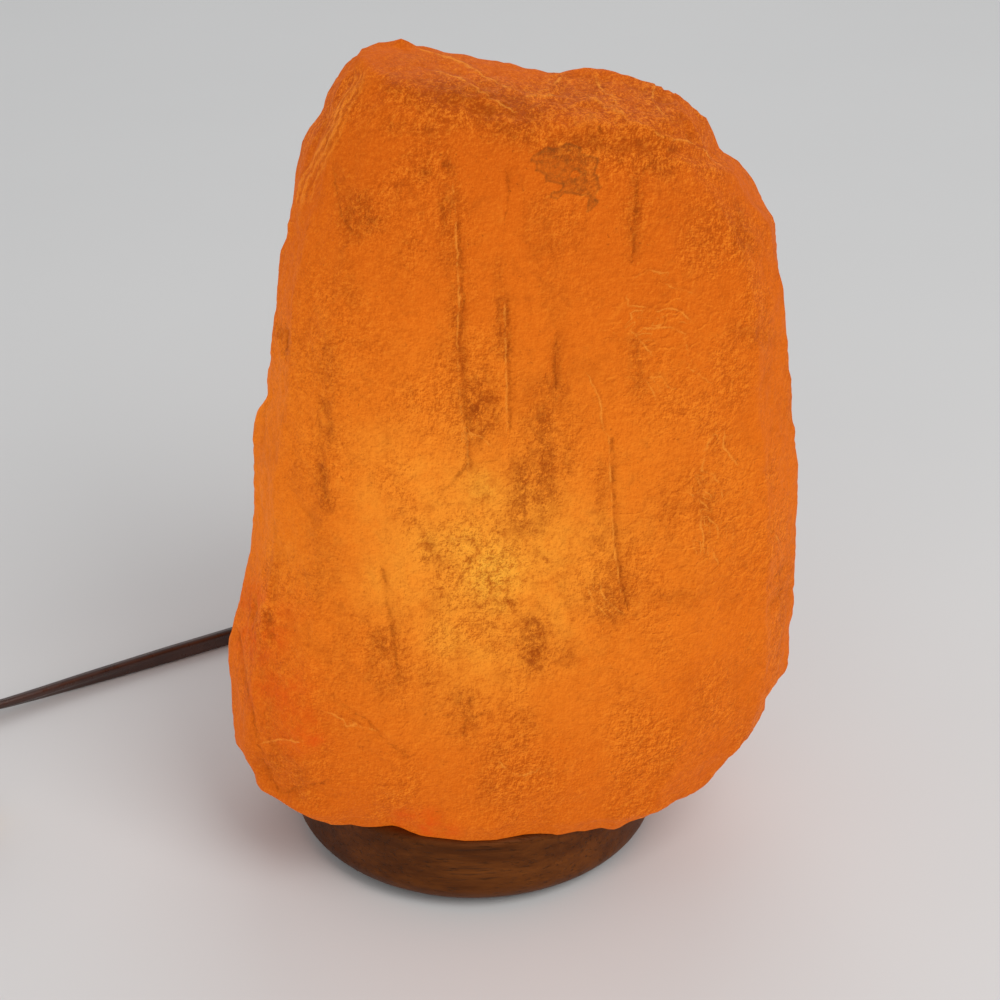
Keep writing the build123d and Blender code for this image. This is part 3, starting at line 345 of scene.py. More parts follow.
    def stripe_crest(self):
        """The fine stripes that run along the crest on the upper left."""
        wander = self.range(self.noise(3.5, 6, 0.75), 0.25, 0.75, -0.9, 0.9)
        bent = self.plus(self.layer("crest_side"), wander)
        stripes = self.math("SINE", self.times(bent, 2 * pi / CREST_STRIPE))
        band = self.range(self.math("ABSOLUTE", bent), 2.4, 1.6)
        band = self.times(band, self.range(self.layer("crest_near"), 0.1, 0.4))
        self.tint(self.times(band, self.range(stripes, 0.2, 1.0, 0.0, 0.30)), SALT_STRIPE)
        self.tint(self.times(band, self.range(stripes, -0.3, -1.0, 0.0, 0.42)), SALT_DEEP)


def wood_shader():
    """Dark wood with its grain along X and fine open pores."""
    s = Shader("dark_wood")
    wide = s.noise(16, 5, 0.6, (5, 1, 1), 0.4)
    fine = s.noise(2.2, 5, 0.7, (12, 1, 1), 0.2)
    pores = s.range(s.noise(0.9, 3, 0.7, (16, 1, 1)), 0.56, 0.68)
    shade = s.ramp(s.plus(s.times(wide, 0.6), s.times(fine, 0.4)), [
        (0.30, (0.030, 0.0070, 0.0012)), (0.48, (0.075, 0.0190, 0.0030)), (0.66, (0.150, 0.042, 0.0065))])
    shade = s.mix(s.times(pores, 0.6), shade, (0.012, 0.003, 0.0006))
    return s.set(Base_Color=shade, Roughness=s.range(fine, 0.3, 0.7, 0.42, 0.60),
                 Normal=s.bump(s.math("SUBTRACT", fine, pores), 0.12, 0.8), Specular_IOR_Level=0.18,
                 Specular_Tint=(1.0, 0.6, 0.35, 1.0))


def cord_shader():
    s = Shader("brown_cord")
    shade = s.mix(s.range(s.noise(12), 0.3, 0.7), (0.030, 0.010, 0.006), (0.052, 0.019, 0.011))
    return s.set(Base_Color=shade, Roughness=s.range(s.noise(5), 0.3, 0.7, 0.24, 0.36),
                 Normal=s.bump(s.noise(1.2, 3), 0.03))


def glass_shader(name, tint):
    s = Shader(name)
    return s.set(Base_Color=s.mix(s.noise(10), tint, (1, 1, 1)),
                 Roughness=s.range(s.noise(6), 0, 1, 0.01, 0.05),
                 Transmission_Weight=1.0, IOR=1.45, Normal=s.bump(s.noise(9, 1), 0.02))


def filament_shader():
    s = Shader("hot_filament")
    hot = s.mix(s.noise(1.5), (1.0, 0.55, 0.18), (1.0, 0.7, 0.3))
    return s.set(Base_Color=hot, Emission_Color=hot, Emission_Strength=18.0, Roughness=0.5)


FINISHES = {
    "salt": LitSalt().material,
    "wood": wood_shader(),
    "foot_rubber": plain("foot_rubber", (0.025, 0.025, 0.026), (0.05, 0.05, 0.052), 0.75),
    "zinc_steel": plain("zinc_steel", (0.50, 0.50, 0.47), (0.66, 0.66, 0.63), 0.32, metallic=1.0),
    "spring_steel": plain("spring_steel", (0.44, 0.44, 0.43), (0.60, 0.60, 0.59), 0.26, metallic=1.0),
    "nylon": plain("nylon", (0.68, 0.67, 0.62), (0.80, 0.79, 0.74), 0.5),
    "holder_plastic": plain("holder_plastic", (0.78, 0.75, 0.68), (0.86, 0.84, 0.78), 0.42),
    "porcelain": plain("porcelain", (0.80, 0.78, 0.73), (0.90, 0.88, 0.84), 0.55),
    "brass": plain("brass", (0.62, 0.44, 0.17), (0.76, 0.58, 0.27), 0.28, metallic=1.0),
    "wire_sleeve": plain("wire_sleeve", (0.05, 0.02, 0.012), (0.08, 0.035, 0.02), 0.4),
    "bulb_glass": glass_shader("bulb_glass", (1.0, 0.97, 0.92)),
    "stem_glass": glass_shader("stem_glass", (0.93, 0.96, 0.93)),
    "black_glass": plain("black_glass", (0.012, 0.012, 0.014), (0.03, 0.03, 0.033), 0.15),
    "filament": filament_shader(),
    "cord": cord_shader(),
    "cord_fittings": plain("cord_fittings", (0.035, 0.014, 0.009), (0.06, 0.025, 0.016), 0.42, bump=0.04),
    "dimmer_case": plain("dimmer_case", (0.04, 0.018, 0.012), (0.065, 0.03, 0.02), 0.40, bump=0.05,
                         grain=0.4),
    "dimmer_knob": plain("dimmer_knob", (0.06, 0.028, 0.018), (0.10, 0.05, 0.034), 0.38),
    "circuit_board": plain("circuit_board", (0.02, 0.11, 0.045), (0.04, 0.17, 0.07), 0.4),
    "component_black": plain("component_black", (0.015, 0.015, 0.016), (0.03, 0.03, 0.032), 0.5),
    "component_orange": plain("component_orange", (0.42, 0.13, 0.02), (0.55, 0.2, 0.04), 0.25),
    "tie": plain("tie", (0.02, 0.018, 0.018), (0.04, 0.035, 0.034), 0.5),
}

for node_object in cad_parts.values():
    slot_name = node_object.data.materials[0].name.split(".")[0]
    node_object.data.materials.clear()
    node_object.data.materials.append(FINISHES[slot_name])


def finish_piece(piece, body, slot_name, *nodes):
    """Gives a new piece its finish, its body and the CAD nodes that it replaces."""
    piece.data.materials.clear()
    piece.data.materials.append(FINISHES[slot_name])
    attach(piece, body)
    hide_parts(*nodes)


# ---------------------------------------------------------------- cord

def along(point, angle, run):
    """The point a run of millimetres further on, level, in the direction of the angle."""
    return point + Vector((cos(radians(angle)), sin(radians(angle)), 0)) * run / 1000


SPOKE = (cos(radians(GROOVE_ANGLE)), sin(radians(GROOVE_ANGLE)))
BASE_EXIT = metres(SPOKE[0] * BUSHING_END, SPOKE[1] * BUSHING_END, GROOVE_Z)
TO_DIMMER = [BASE_EXIT, along(BASE_EXIT, GROOVE_ANGLE, STRAIGHT_FROM_BASE)] + [metres(*p) for p in (
    (-29.0, 88.6, 5.0), (-40.8, 96.1, 3.8), (-54.5, 98.9, CORD_LOW), (-68.3, 96.5, CORD_LOW),
    (-92.3, 82.1, CORD_LOW), (-126.6, 61.9, CORD_LOW), (-152.0, 45.4, 4.0),
    (-165.4, 37.2, DIMMER_CORD_Z), (-176.8, 30.8, DIMMER_CORD_Z))]
last_run = TO_DIMMER[-1] - TO_DIMMER[-2]
DIMMER_HEADING = degrees(atan2(last_run.y, last_run.x))
DIMMER_FAR = along(TO_DIMMER[-1], DIMMER_HEADING, 2 * DIMMER_REACH)
# Each step on the way to the coil and to the plug: its angle, its run and how far it drops.
COIL_APPROACH = ((229, 14, 0.6), (249, 17, DIMMER_CORD_Z - 0.6 - COIL_LOW), (270, 16, 0))
PLUG_APPROACH = ((17, 19, 0.8), (35, 21, 1.6), (54, 21, 1.2), (72, 20, 0))


def follow(route, approach):
    """The route with the approach's steps added to its end."""
    for angle, run, drop in approach:
        route.append(along(route[-1], angle, run) - Vector((0, 0, drop / 1000)))
    return route


def coil_route(start):
    """Turns inward on the lower layer, one step up, and turns outward on the upper layer."""
    outer = COIL_INNER_R + COIL_TURNS_IN * COIL_PITCH
    middle = start + Vector((outer, -CORD_D, 0)) / 1000
    route = []
    steps_in, steps_up, steps_out = [round(turns * 360 / COIL_STEP) for turns in
                                     (COIL_TURNS_IN, COIL_TURNS_UP, COIL_TURNS_OUT)]
    for k in range(steps_in + steps_up + steps_out + 1):
        if k <= steps_in:
            radius, rise = outer - COIL_PITCH * COIL_TURNS_IN * k / steps_in, 0.0
        elif k <= steps_in + steps_up:
            share = (k - steps_in) / steps_up
            radius = COIL_INNER_R - COIL_DIP * sin(pi * share)
            rise = COIL_PITCH * (share - sin(2 * pi * share) / (2 * pi))
        else:
            share = (k - steps_in - steps_up) / steps_out
            radius, rise = COIL_INNER_R + (outer - COIL_INNER_R) * share, COIL_PITCH
        angle = radians(180 + COIL_STEP * k)
        route.append(middle + Vector((radius * cos(angle), radius * sin(angle), rise)) / 1000)
    return route


def plug_route(coil_end):
    """From the coil to the plug, with its last points at the plug's height."""
    route = follow([coil_end, along(coil_end, 0, STRAIGHT_FROM_COIL)], PLUG_APPROACH)
    lower = Vector((0, 0, route[-1].z - PLUG_Z / 1000))
    return route[:-2] + [route[-2] - lower, route[-1] - lower]


TO_COIL = follow([DIMMER_FAR, along(DIMMER_FAR, DIMMER_HEADING, STRAIGHT_FROM_DIMMER)], COIL_APPROACH)
COIL = coil_route(TO_COIL[-1])
FROM_DIMMER = TO_COIL + COIL + plug_route(along(COIL[-1], 0, CORD_D))


def spline_line(name, route):
    """The points of a smooth spline through the route."""
    curve = bpy.data.curves.new(name, "CURVE")
    curve.dimensions = "3D"
    curve.resolution_u = 10
    spline = curve.splines.new("NURBS")
    spline.points.add(len(route) - 1)
    for point, place in zip(spline.points, route):
        point.co = (*place, 1)
    spline.order_u = 3
    spline.use_endpoint_u = True
    holder = bpy.data.objects.new(name, curve)
    line = [v.co.copy() for v in bpy.data.meshes.new_from_object(holder).vertices]
    bpy.data.objects.remove(holder)
    return line


CORE_ARC, CORE_POINTS = 118, 13


def twin_section(turn):
    """The outline of two round cores side by side with a groove between them, in millimetres."""
    core = CORD_THICK / 2
    apart = (CORD_WIDTH - CORD_THICK) / 2
    angles = np.radians(np.linspace(-CORE_ARC, CORE_ARC, CORE_POINTS))
    half = [(apart + core * cos(a), core * sin(a)) for a in angles]
    outline = half + [(-x, -y) for x, y in half]
    c, s = cos(radians(turn)), sin(radians(turn))
    return [(x * c - y * s, x * s + y * c) for x, y in outline]


def flat_cord(name, line, turns):
    """A flat twin cord along the line. turns gives the angle of its width against share of length."""
    steps = np.array([(b - a).length for a, b in zip(line, line[1:])])
    share = np.concatenate([[0], np.cumsum(steps)]) / steps.sum()
    angles = np.interp(share, *zip(*turns))
    rings, faces = [], []
    for k, point in enumerate(line):
        way = (line[min(k + 1, len(line) - 1)] - line[max(k - 1, 0)]).normalized()
        side = way.cross(Vector((0, 0, 1))).normalized()
        up = side.cross(way)
        rings += [point + (side * a + up * b) / 1000 for a, b in twin_section(angles[k])]
    around = len(twin_section(0))
    for k in range(len(line) - 1):
        for i in range(around):
            j = (i + 1) % around
            faces.append((k * around + i, k * around + j, (k + 1) * around + j, (k + 1) * around + i))
    faces += [tuple(range(around)), tuple(reversed(range(len(rings) - around, len(rings))))]
    mesh = bpy.data.meshes.new(name)
    mesh.from_pydata(rings, [], faces)
    piece = bpy.data.objects.new(name, mesh)
    bpy.context.scene.collection.objects.link(piece)
    smooth(piece, 50)
    return piece, steps.sum()


def choose(*pieces):
    """Only these pieces selected, the first one active."""
    bpy.ops.object.select_all(action="DESELECT")
    for piece in pieces:
        piece.select_set(True)
    bpy.context.view_layer.objects.active = pieces[0]


def smooth(piece, angle):
    """Faces turned outward and shaded smooth, with edges kept where they turn by more than the angle."""
    choose(piece)
    bpy.ops.object.mode_set(mode="EDIT")
    bpy.ops.mesh.select_all(action="SELECT")
    bpy.ops.mesh.normals_make_consistent(inside=False)
    bpy.ops.object.mode_set(mode="OBJECT")
    bpy.ops.object.shade_smooth_by_angle(angle=radians(angle))


near_line = spline_line("near_route", TO_DIMMER)
far_line = spline_line("far_route", FROM_DIMMER)
near_cord, near_length = flat_cord("cord_base_to_dimmer", near_line,
                                   [(0, 90), (0.55, 92), (0.72, 118), (0.88, 150), (1, 180)])
far_cord, far_length = flat_cord("cord_dimmer_to_plug", far_line,
                                 [(0, 180), (0.03, 90), (0.94, 90), (1, 180)])
finish_piece(near_cord, "light_unit", "cord", "cord_to_dimmer")
finish_piece(far_cord, "light_unit", "cord", "cord_to_coil", "cord_coil", "cord_to_plug")


# ---------------------------------------------------------------- stone

# The stone starts as a cube of this many cells along each edge, blown up to where rays towards its
# middle meet the solid. They start this many metres from it. The seat is flat round the bore.
STONE_CELLS = 125
STONE_MIDDLE = Vector((-4.0, 0.0, 122.0))
RAY_START = 0.4
FLAT_ROUND_BORE = 8.0
# Pixels to a millimetre on the stone's front, about.
PX_PER_MM = 3.7
FAR = 1e9


def outer_shape():
    """The stone's outside, found by rays towards its middle, with a flat seat around the bore."""
    bpy.ops.mesh.primitive_cube_add(size=2)
    piece = bpy.context.object
    piece.name = "stone"
    bpy.ops.object.mode_set(mode="EDIT")
    bpy.ops.mesh.select_all(action="SELECT")
    bpy.ops.mesh.subdivide(number_cuts=STONE_CELLS - 1)
    bpy.ops.object.mode_set(mode="OBJECT")
    count = len(piece.data.vertices)
    ways = np.zeros(count * 3)
    piece.data.vertices.foreach_get("co", ways)
    ways = np.tan(ways.reshape(-1, 3) * pi / 4)
    ways /= np.linalg.norm(ways, axis=1)[:, None]
    node_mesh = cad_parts["salt_crystal"].data
    tree = BVHTree.FromPolygons([v.co for v in node_mesh.vertices],
                                [tuple(p.vertices) for p in node_mesh.polygons])
    places = np.zeros((count, 3))
    middle = STONE_MIDDLE / 1000
    for k, way in enumerate(ways):
        way = Vector(way)
        found = tree.ray_cast(middle + way * RAY_START, -way)[0]
        if way.z < 0:
            seat = middle + way * ((SEAT_Z / 1000 - middle.z) / way.z)
            from_axis = Vector((seat.x - AXIS_X / 1000, seat.y)).length
            past_seat = found is None or (found - middle).length > (seat - middle).length
            if past_seat or from_axis < (BORE_R + FLAT_ROUND_BORE) / 1000:
                found = seat
        places[k] = found
    piece.data.vertices.foreach_set("co", places.ravel())
    piece.data.update()
    return piece


def bore_cutter():
    """The bore with its rounded end, and the three plug holes beside it."""
    holes = [(BORE_R, BORE_TOP_Z, 0, 0, BORE_END_ROUND)]
    for k in range(SCREW_COUNT):
        angle = radians(SCREW_ANGLE + 360 / SCREW_COUNT * k)
        holes.append((PLUG_HOLE_R, SEAT_Z + PLUG_HOLE_DEPTH, SCREW_CIRCLE_R * cos(angle),
                      SCREW_CIRCLE_R * sin(angle), PLUG_HOLE_ROUND))
    cutters = []
    low = SEAT_Z - CUTTER_BELOW
    for radius, high, x, y, rounding in holes:
        bpy.ops.mesh.primitive_cylinder_add(vertices=BORE_SIDES, radius=radius / 1000,
                                            depth=(high - low) / 1000,
                                            location=metres(x, y, (low + high) / 2))
        cutter = bpy.context.object
        bevel = cutter.modifiers.new("round", "BEVEL")
        bevel.width, bevel.segments, bevel.limit_method = rounding / 1000, 5, "ANGLE"
        bpy.ops.object.modifier_apply(modifier="round")
        bpy.ops.object.transform_apply()
        cutters.append(cutter)
    choose(*cutters)
    bpy.ops.object.join()
    return bpy.context.object


def hump(distance, width):
    """One at the distance nought, falling off within about the width."""
    return np.exp(-(distance / width) ** 2)


def ease(value, low, high):
    """From nought at low to one at high, with soft ends."""
    t = np.clip((value - low) / (high - low), 0, 1)
    return t * t * (3 - 2 * t)


def along_table(table, values):
    """The table's second number at each value of its first."""
    return np.interp(values, *zip(*table))


# Lines and spots on the stone's front, drawn at the pixels where the camera sees them.
CREST = ((359, 66), (357, 80), (342, 108), (334, 133), (325, 149), (316, 164), (305, 182), (299, 204),
         (295, 224))
TOP_RIDGES = [
    ((420, 50), (444, 56), (464, 64), (484, 76), (505, 86), (522, 92)),
    ((438, 72), (462, 80), (480, 92), (498, 101), (512, 108)),
    ((520, 97), (545, 93), (568, 96), (590, 100), (606, 109), (624, 119), (646, 128), (668, 139)),
    ((668, 139), (690, 142), (708, 150), (722, 160)),
    ((598, 84), (614, 100), (622, 118)), ((560, 78), (548, 88), (530, 92)),
    ((655, 86), (652, 100), (664, 116)),
]
LEDGE = ((392, 84), (412, 90), (430, 100), (452, 108), (480, 114), (505, 120), (530, 132), (549, 144),
         (590, 150), (640, 155), (690, 162), (722, 168))
GROOVES = [
    ((458, 190), (460, 250), (463, 300), (461, 340), (464, 400), (467, 440), (469, 469)),
    ((508, 295), (509, 350), (510, 428)),
    ((507, 171), (509, 190), (506, 214)),
    ((557, 335), (555, 360), (556, 386)),
    ((637, 162), (639, 185), (635, 215), (634, 259)),
    ((612, 440), (613, 467), (615, 510), (618, 553), (622, 580), (626, 604)),
    ((382, 572), (388, 608), (391, 630), (394, 649), (399, 678)),
]
CRACKS = [
    ((332, 168), (334, 190), (338, 212), (346, 226), (356, 237)),
    ((333, 700), (350, 708), (367, 719), (386, 741), (405, 756)),
    ((284, 332), (285, 343), (283, 354)),
    ((238, 632), (244, 681), (255, 722), (260, 747), (270, 778), (283, 790), (304, 787), (324, 782)),
    ((471, 700), (468, 716), (464, 733)), ((448, 716), (468, 718), (488, 712)),
    ((418, 176), (428, 172), (434, 178)), ((440, 166), (446, 160), (451, 166)),
    ((600, 128), (604, 140), (598, 147)), ((645, 168), (656, 160), (668, 166)),
    ((442, 205), (446, 214), (444, 226)), ((318, 470), (324, 484), (321, 500)),
    ((440, 497), (452, 482), (466, 467), (478, 464), (493, 462)), ((784, 567), (769, 589)),
    ((780, 593), (773, 607)),
]
# Ridge lines along which the shader paints highlights, with painted shade beside them.
PALE_LINES = TOP_RIDGES + [
    ((454, 190), (457, 250), (459, 300), (457, 340), (460, 400), (463, 440)),
    ((505, 298), (506, 350), (507, 428)),
    ((467, 432), (468, 470)), ((467, 432), (480, 437), (490, 446)),
    ((609, 436), (610, 467), (612, 510), (615, 553), (620, 590)),
    ((714, 436), (708, 444), (704, 458), (702, 471), (713, 474)),
    ((725, 436), (725, 449), (731, 456), (736, 462)),
    ((714, 476), (719, 484), (722, 493)), ((699, 482), (703, 489), (709, 494)),
    ((692, 495), (700, 500), (707, 506)), ((702, 515), (701, 527), (703, 538), (703, 549)),
    ((711, 520), (717, 527), (718, 534)), ((692, 540), (694, 549)), ((713, 553), (718, 561)),
    ((734, 531), (733, 544)), ((771, 531), (777, 540)),
    ((628, 301), (632, 320)), ((634, 306), (647, 308), (662, 313), (664, 323)),
    ((644, 328), (653, 329), (668, 327), (677, 329), (683, 334)),
    ((667, 310), (675, 308), (683, 312), (687, 317)),
    ((672, 287), (681, 289), (690, 291)), ((649, 377), (661, 377), (666, 386), (672, 388)),
    ((686, 343), (690, 357)), ((649, 384), (656, 399)), ((695, 372), (707, 379)),
    ((640, 275), (652, 271), (664, 274)), ((630, 330), (640, 340), (650, 352)),
    ((440, 548), (452, 538), (470, 540)),
    ((330, 713), (348, 719), (367, 727)), ((345, 725), (358, 725), (370, 728)),
    ((268, 742), (282, 738), (300, 741)),
    ((503, 766), (512, 773), (522, 776), (535, 772)),
    ((590, 380), (600, 400), (603, 430)),
    ((588, 590), (594, 602), (604, 612)), ((600, 588), (606, 600), (618, 610)),
]
# Spots from a start to an end, with their half width in pixels and how dense their specks are.
DIRT_SPOTS = [
    ((474, 384), (480, 428), 17, 0.95), ((450, 190), (460, 370), 9, 0.45), ((546, 396), (549, 490), 23, 0.65),
    ((530, 478), (528, 515), 20, 0.85), ((534, 622), (534, 658), 15, 0.8), ((324, 408), (328, 440), 9, 0.5),
    ((322, 468), (326, 505), 9, 0.6), ((636, 345), (640, 386), 9, 0.5), ((380, 620), (390, 680), 17, 0.6),
    ((604, 545), (614, 608), 26, 0.5), ((600, 470), (606, 540), 12, 0.35), ((362, 200), (370, 226), 11, 0.6),
    ((424, 176), (432, 176), 6, 0.8), ((446, 160), (450, 172), 6, 0.7), ((446, 200), (448, 260), 8, 0.4),
    ((464, 700), (468, 730), 14, 0.5), ((404, 84), (480, 104), 14, 0.6), ((440, 90), (530, 108), 20, 0.65),
    ((390, 126), (440, 128), 7, 0.5), ((500, 122), (560, 146), 16, 0.5), ((575, 140), (650, 148), 12, 0.5),
    ((500, 300), (504, 350), 8, 0.6), ((556, 340), (556, 386), 6, 0.45), ((268, 618), (272, 640), 5, 0.8),
    ((636, 170), (632, 255), 7, 0.5), ((655, 165), (668, 172), 8, 0.5), ((735, 205), (748, 250), 10, 0.35),
    ((565, 82), (590, 92), 20, 0.4), ((310, 110), (330, 140), 9, 0.35), ((344, 180), (350, 240), 12, 0.3),
    ((520, 640), (570, 660), 12, 0.3), ((470, 440), (480, 500), 12, 0.25), ((280, 330), (286, 350), 6, 0.5),
    ((300, 575), (330, 580), 10, 0.25), ((250, 600), (256, 640), 8, 0.3), ((655, 595), (690, 600), 10, 0.25),
    ((700, 480), (716, 560), 14, 0.3), ((405, 515), (440, 560), 10, 0.25), ((498, 262), (500, 296), 7, 0.3),
    ((272, 758), (300, 776), 18, 0.35), ((348, 262), (352, 300), 10, 0.25), ((736, 330), (770, 340), 10, 0.3),
    ((640, 90), (700, 130), 16, 0.3),
]
# Rough places, with their radius in pixels and how rough they are.
ROUGH_SPOTS = ((425, 410, 44, 0.5), (480, 405, 26, 0.7), (545, 450, 42, 0.6), (528, 500, 30, 0.7),
               (604, 585, 40, 0.7),
               (455, 620, 60, 0.45), (535, 645, 34, 0.6), (490, 560, 62, 0.6), (330, 350, 60, 0.45),
               (326, 300, 34, 0.4), (326, 450, 40, 0.4), (362, 215, 24, 0.7), (452, 215, 22, 0.5),
               (636, 210, 20, 0.6), (745, 235, 28, 0.6), (665, 400, 46, 0.4), (705, 505, 46, 0.5),
               (388, 650, 34, 0.6), (468, 715, 34, 0.5), (300, 690, 50, 0.4), (640, 150, 40, 0.7),
               (430, 170, 22, 0.6), (265, 630, 30, 0.5), (520, 790, 60, 0.35), (650, 740, 60, 0.3),
               (760, 560, 40, 0.4), (290, 600, 30, 0.4))
# The stain's round lobes, with their radius in pixels.
STAIN = ((548, 160, 14), (566, 156, 14), (586, 164, 12), (560, 174, 12), (570, 188, 9), (588, 184, 13),
         (592, 202, 8), (553, 172, 11), (541, 157, 8), (558, 196, 7))
# Red places, and hot spots where a brighter pool of glow is painted, with their radius in pixels and their
# strength.
RED_SPOTS = ((262, 640, 28, 0.75), (280, 690, 34, 0.65), (315, 739, 9, 1.0), (300, 725, 30, 0.6),
             (405, 822, 12, 1.0), (428, 825, 14, 1.0), (452, 830, 9, 0.8), (255, 600, 18, 0.6),
             (290, 610, 20, 0.4))
HOT_SPOTS = ((490, 572, 32, 1.0), (468, 548, 28, 0.6), (448, 640, 24, 0.35), (432, 545, 14, 0.4),
             (482, 488, 22, 0.45), (502, 600, 16, 0.5), (460, 600, 26, 0.3), (545, 560, 40, 0.18),
             (470, 660, 60, 0.15))
# Pits, with their radius and depth in millimetres.
PITS = ((512, 603, 1.3, 1.0), (425, 559, 0.9, 0.7), (415, 520, 0.8, 0.6), (271, 635, 1.2, 1.0),
        (266, 614, 1.0, 0.8), (426, 175, 1.2, 0.8), (512, 640, 0.8, 0.6), (592, 138, 2.2, 0.9),
        (674, 148, 1.4, 0.7), (470, 560, 0.8, 0.6), (545, 560, 0.9, 0.5), (585, 596, 0.9, 0.5))
# How far the rough top rises above the solid at each picture column, and how far the sides stand
# out at each picture row, in millimetres.
CROWN_RISE = ((300, 3.0), (318, 0.8), (330, 0.6), (345, 2.4), (360, -2.0), (375, 0.3), (390, 1.5), (405, 1.8),
              (420, 0.9), (435, -0.6), (465, -0.3), (480, -0.9), (495, -1.8), (510, -0.6), (525, -2.0),
              (540, -2.0), (555, -0.9), (570, 1.2), (585, 2.6), (600, 2.9), (630, 2.6), (645, 1.8),
              (675, 1.2), (690, 2.6), (705, 2.9), (720, -0.3), (735, 0.6), (750, -1.2), (765, 0.0))
LEFT_STAND = ((100, 0.0), (145, 0.8), (220, -1.5), (235, -1.5), (250, 0.5), (300, 0.0), (390, 0.2),
              (405, 1.6), (440, 1.2), (480, 0.4), (520, 0.0), (550, -1.3), (580, -0.8), (610, 0.2),
              (640, 1.4), (660, 0.6), (700, 0.0), (730, 1.0), (745, 2.0), (760, 1.3), (775, 0.0),
              (805, 2.4), (820, 2.0))
RIGHT_STAND = ((100, 0.0), (130, 0.6), (145, -0.8), (160, 0.4), (190, 0.0), (220, 1.4), (250, 0.0),
               (280, -1.4), (310, 0.0), (500, 0.0), (560, -0.8), (625, 0.2), (645, 1.4), (670, 3.6),
               (685, 3.4), (700, 1.4), (730, 2.4), (760, 1.4), (780, 0.6), (805, 2.8), (820, 6.0))
# How far the stone's foot stands out at each picture column.
FOOT_STAND = ((300, 2.5), (330, 0.8), (345, -0.5), (375, -1.5), (390, -4.0), (405, -3.0), (422, -0.2),
              (450, 1.2), (466, 2.0), (495, 1.6), (525, -1.0), (540, -1.4), (556, 0.5), (600, 0.8),
              (615, 2.4), (632, 0.8), (675, 2.0))
# Patches of one kind of surface: their middle and their half width and height in pixels.
SCALE_PATCH = (668, 335, 60, 78)
FEATHER_PATCH = (332, 360, 52, 50)
FACET_PATCH = (712, 500, 40, 75)
HOT_PATCH = (478, 560, 62, 80)
TOP_PATCH = (520, 108, 150, 26)
# Chips off the outline, with their radius and depth in millimetres.
CHIPS = ((266, 398, 3.4, 1.4), (782, 690, 5.0, 2.2), (318, 112, 3.0, 0.9), (722, 150, 3.2, 1.8),
         (344, 74, 3.0, 0.8), (760, 200, 4.0, 0.6))


class Skin:
    """The stone's surface points in millimetres, and how each of them shows in the picture."""

    def __init__(self, piece):
        count = len(piece.data.vertices)
        places, normals = np.zeros(count * 3), np.zeros(count * 3)
        piece.data.vertices.foreach_get("co", places)
        piece.data.vertex_normals.foreach_get("vector", normals)
        self.places, self.normals = places.reshape(-1, 3) * 1000, normals.reshape(-1, 3)
        self.x, self.y, self.z = self.places.T
        self.spots = in_picture(self.places)
        self.u, self.v = self.spots.T
        to_camera = np.array(CAMERA_PLACE) - self.places
        to_camera /= np.linalg.norm(to_camera, axis=1)[:, None]
        towards = (to_camera * self.normals).sum(1)
        from_axis = np.hypot(self.x - AXIS_X, self.y)
        outside = (from_axis >= BORE_R + BORE_MARGIN) | (self.z >= BORE_TOP_Z + BORE_MARGIN)
        self.free = ease(self.z, SEAT_Z + 0.01, SEAT_Z + 5) * outside
        self.facing = ease(towards, 0.02, 0.25) * outside
        self.horizon = hump(towards, 0.25)
        self.grain = self.noise(3.2, shift=3.3)
        self.top = self.patch(TOP_PATCH) * ease(self.z, 195, 208)

    def noise(self, size, octaves=3, stretch=(1, 1, 1), shift=0.0):
        """A field of noise with lumps of about the size in millimetres."""
        scaled = self.places / (size * np.array(stretch)) + shift
        return np.array([noise.fractal(Vector(p), 0.9, 2.0, octaves) for p in scaled])

    def ridges(self, size, shift, stretch, sharp):
        """Thin ridges where a field of noise crosses nought."""
        return np.clip(1 - np.abs(self.noise(size, 2, stretch, shift)) * sharp, 0, 1)

    def patch(self, place):
        """How much each point lies in a patch of the picture, from nought to one."""
        u, v, wide, high = place
        return hump(np.hypot((self.u - u) / wide, (self.v - v) / high), 1.0)

    def from_spot(self, u, v):
        """Distance in pixels from a spot in the picture."""
        return np.hypot(self.u - u, self.v - v)

    def spot_layer(self, spots):
        """How strongly each point takes part in round spots with a radius and a share each."""
        layer = np.zeros(len(self.u))
        for u, v, radius, share in spots:
            layer = np.maximum(layer, share * self.facing * hump(self.from_spot(u, v), radius))
        return layer

    def beside(self, line):
        """Distance from a drawn line and offset to its right, in millimetres on the stone's front."""
        best, side = np.full(len(self.spots), FAR), np.zeros(len(self.spots))
        for a, b in zip(np.array(line[:-1], float), np.array(line[1:], float)):
            way = b - a
            share = np.clip(((self.spots - a) @ way) / (way @ way), 0, 1)
            gap = self.spots - (a + share[:, None] * way)
            distance = np.linalg.norm(gap, axis=1)
            nearer = distance < best
            best[nearer] = distance[nearer]
            across = gap[:, 1] * way[0] - gap[:, 0] * way[1]
            side[nearer] = np.where(across < 0, 1, -1)[nearer] * distance[nearer]
        return best / PX_PER_MM, side / PX_PER_MM

    def line_layers(self, lines):
        """Two layers that let the shader draw fine lines: how near the nearest is, and on which side."""
        best = np.full(len(self.spots), FAR)
        near, side = np.zeros(len(self.spots)), np.zeros(len(self.spots))
        for line in lines:
            distance, offset = self.beside(line)
            closer = distance < best
            best[closer] = distance[closer]
            side[closer] = (offset * hump(distance, 3.5))[closer]
            near[closer] = (self.facing * hump(distance, 2.0))[closer]
        return near, side


def relief_all_over(skin):
    """Folds, thin ridges and grain, with more of them on the rough top."""
    relief = 0.45 * skin.noise(11, shift=7.1) - 0.35 * skin.ridges(15, 4.4, (1, 1, 1.6), 6)
    relief += 0.26 * skin.grain
    return relief + skin.top * (0.5 * skin.noise(7, 3, (1.5, 1, 1), 8.8) + 0.4 * skin.grain)


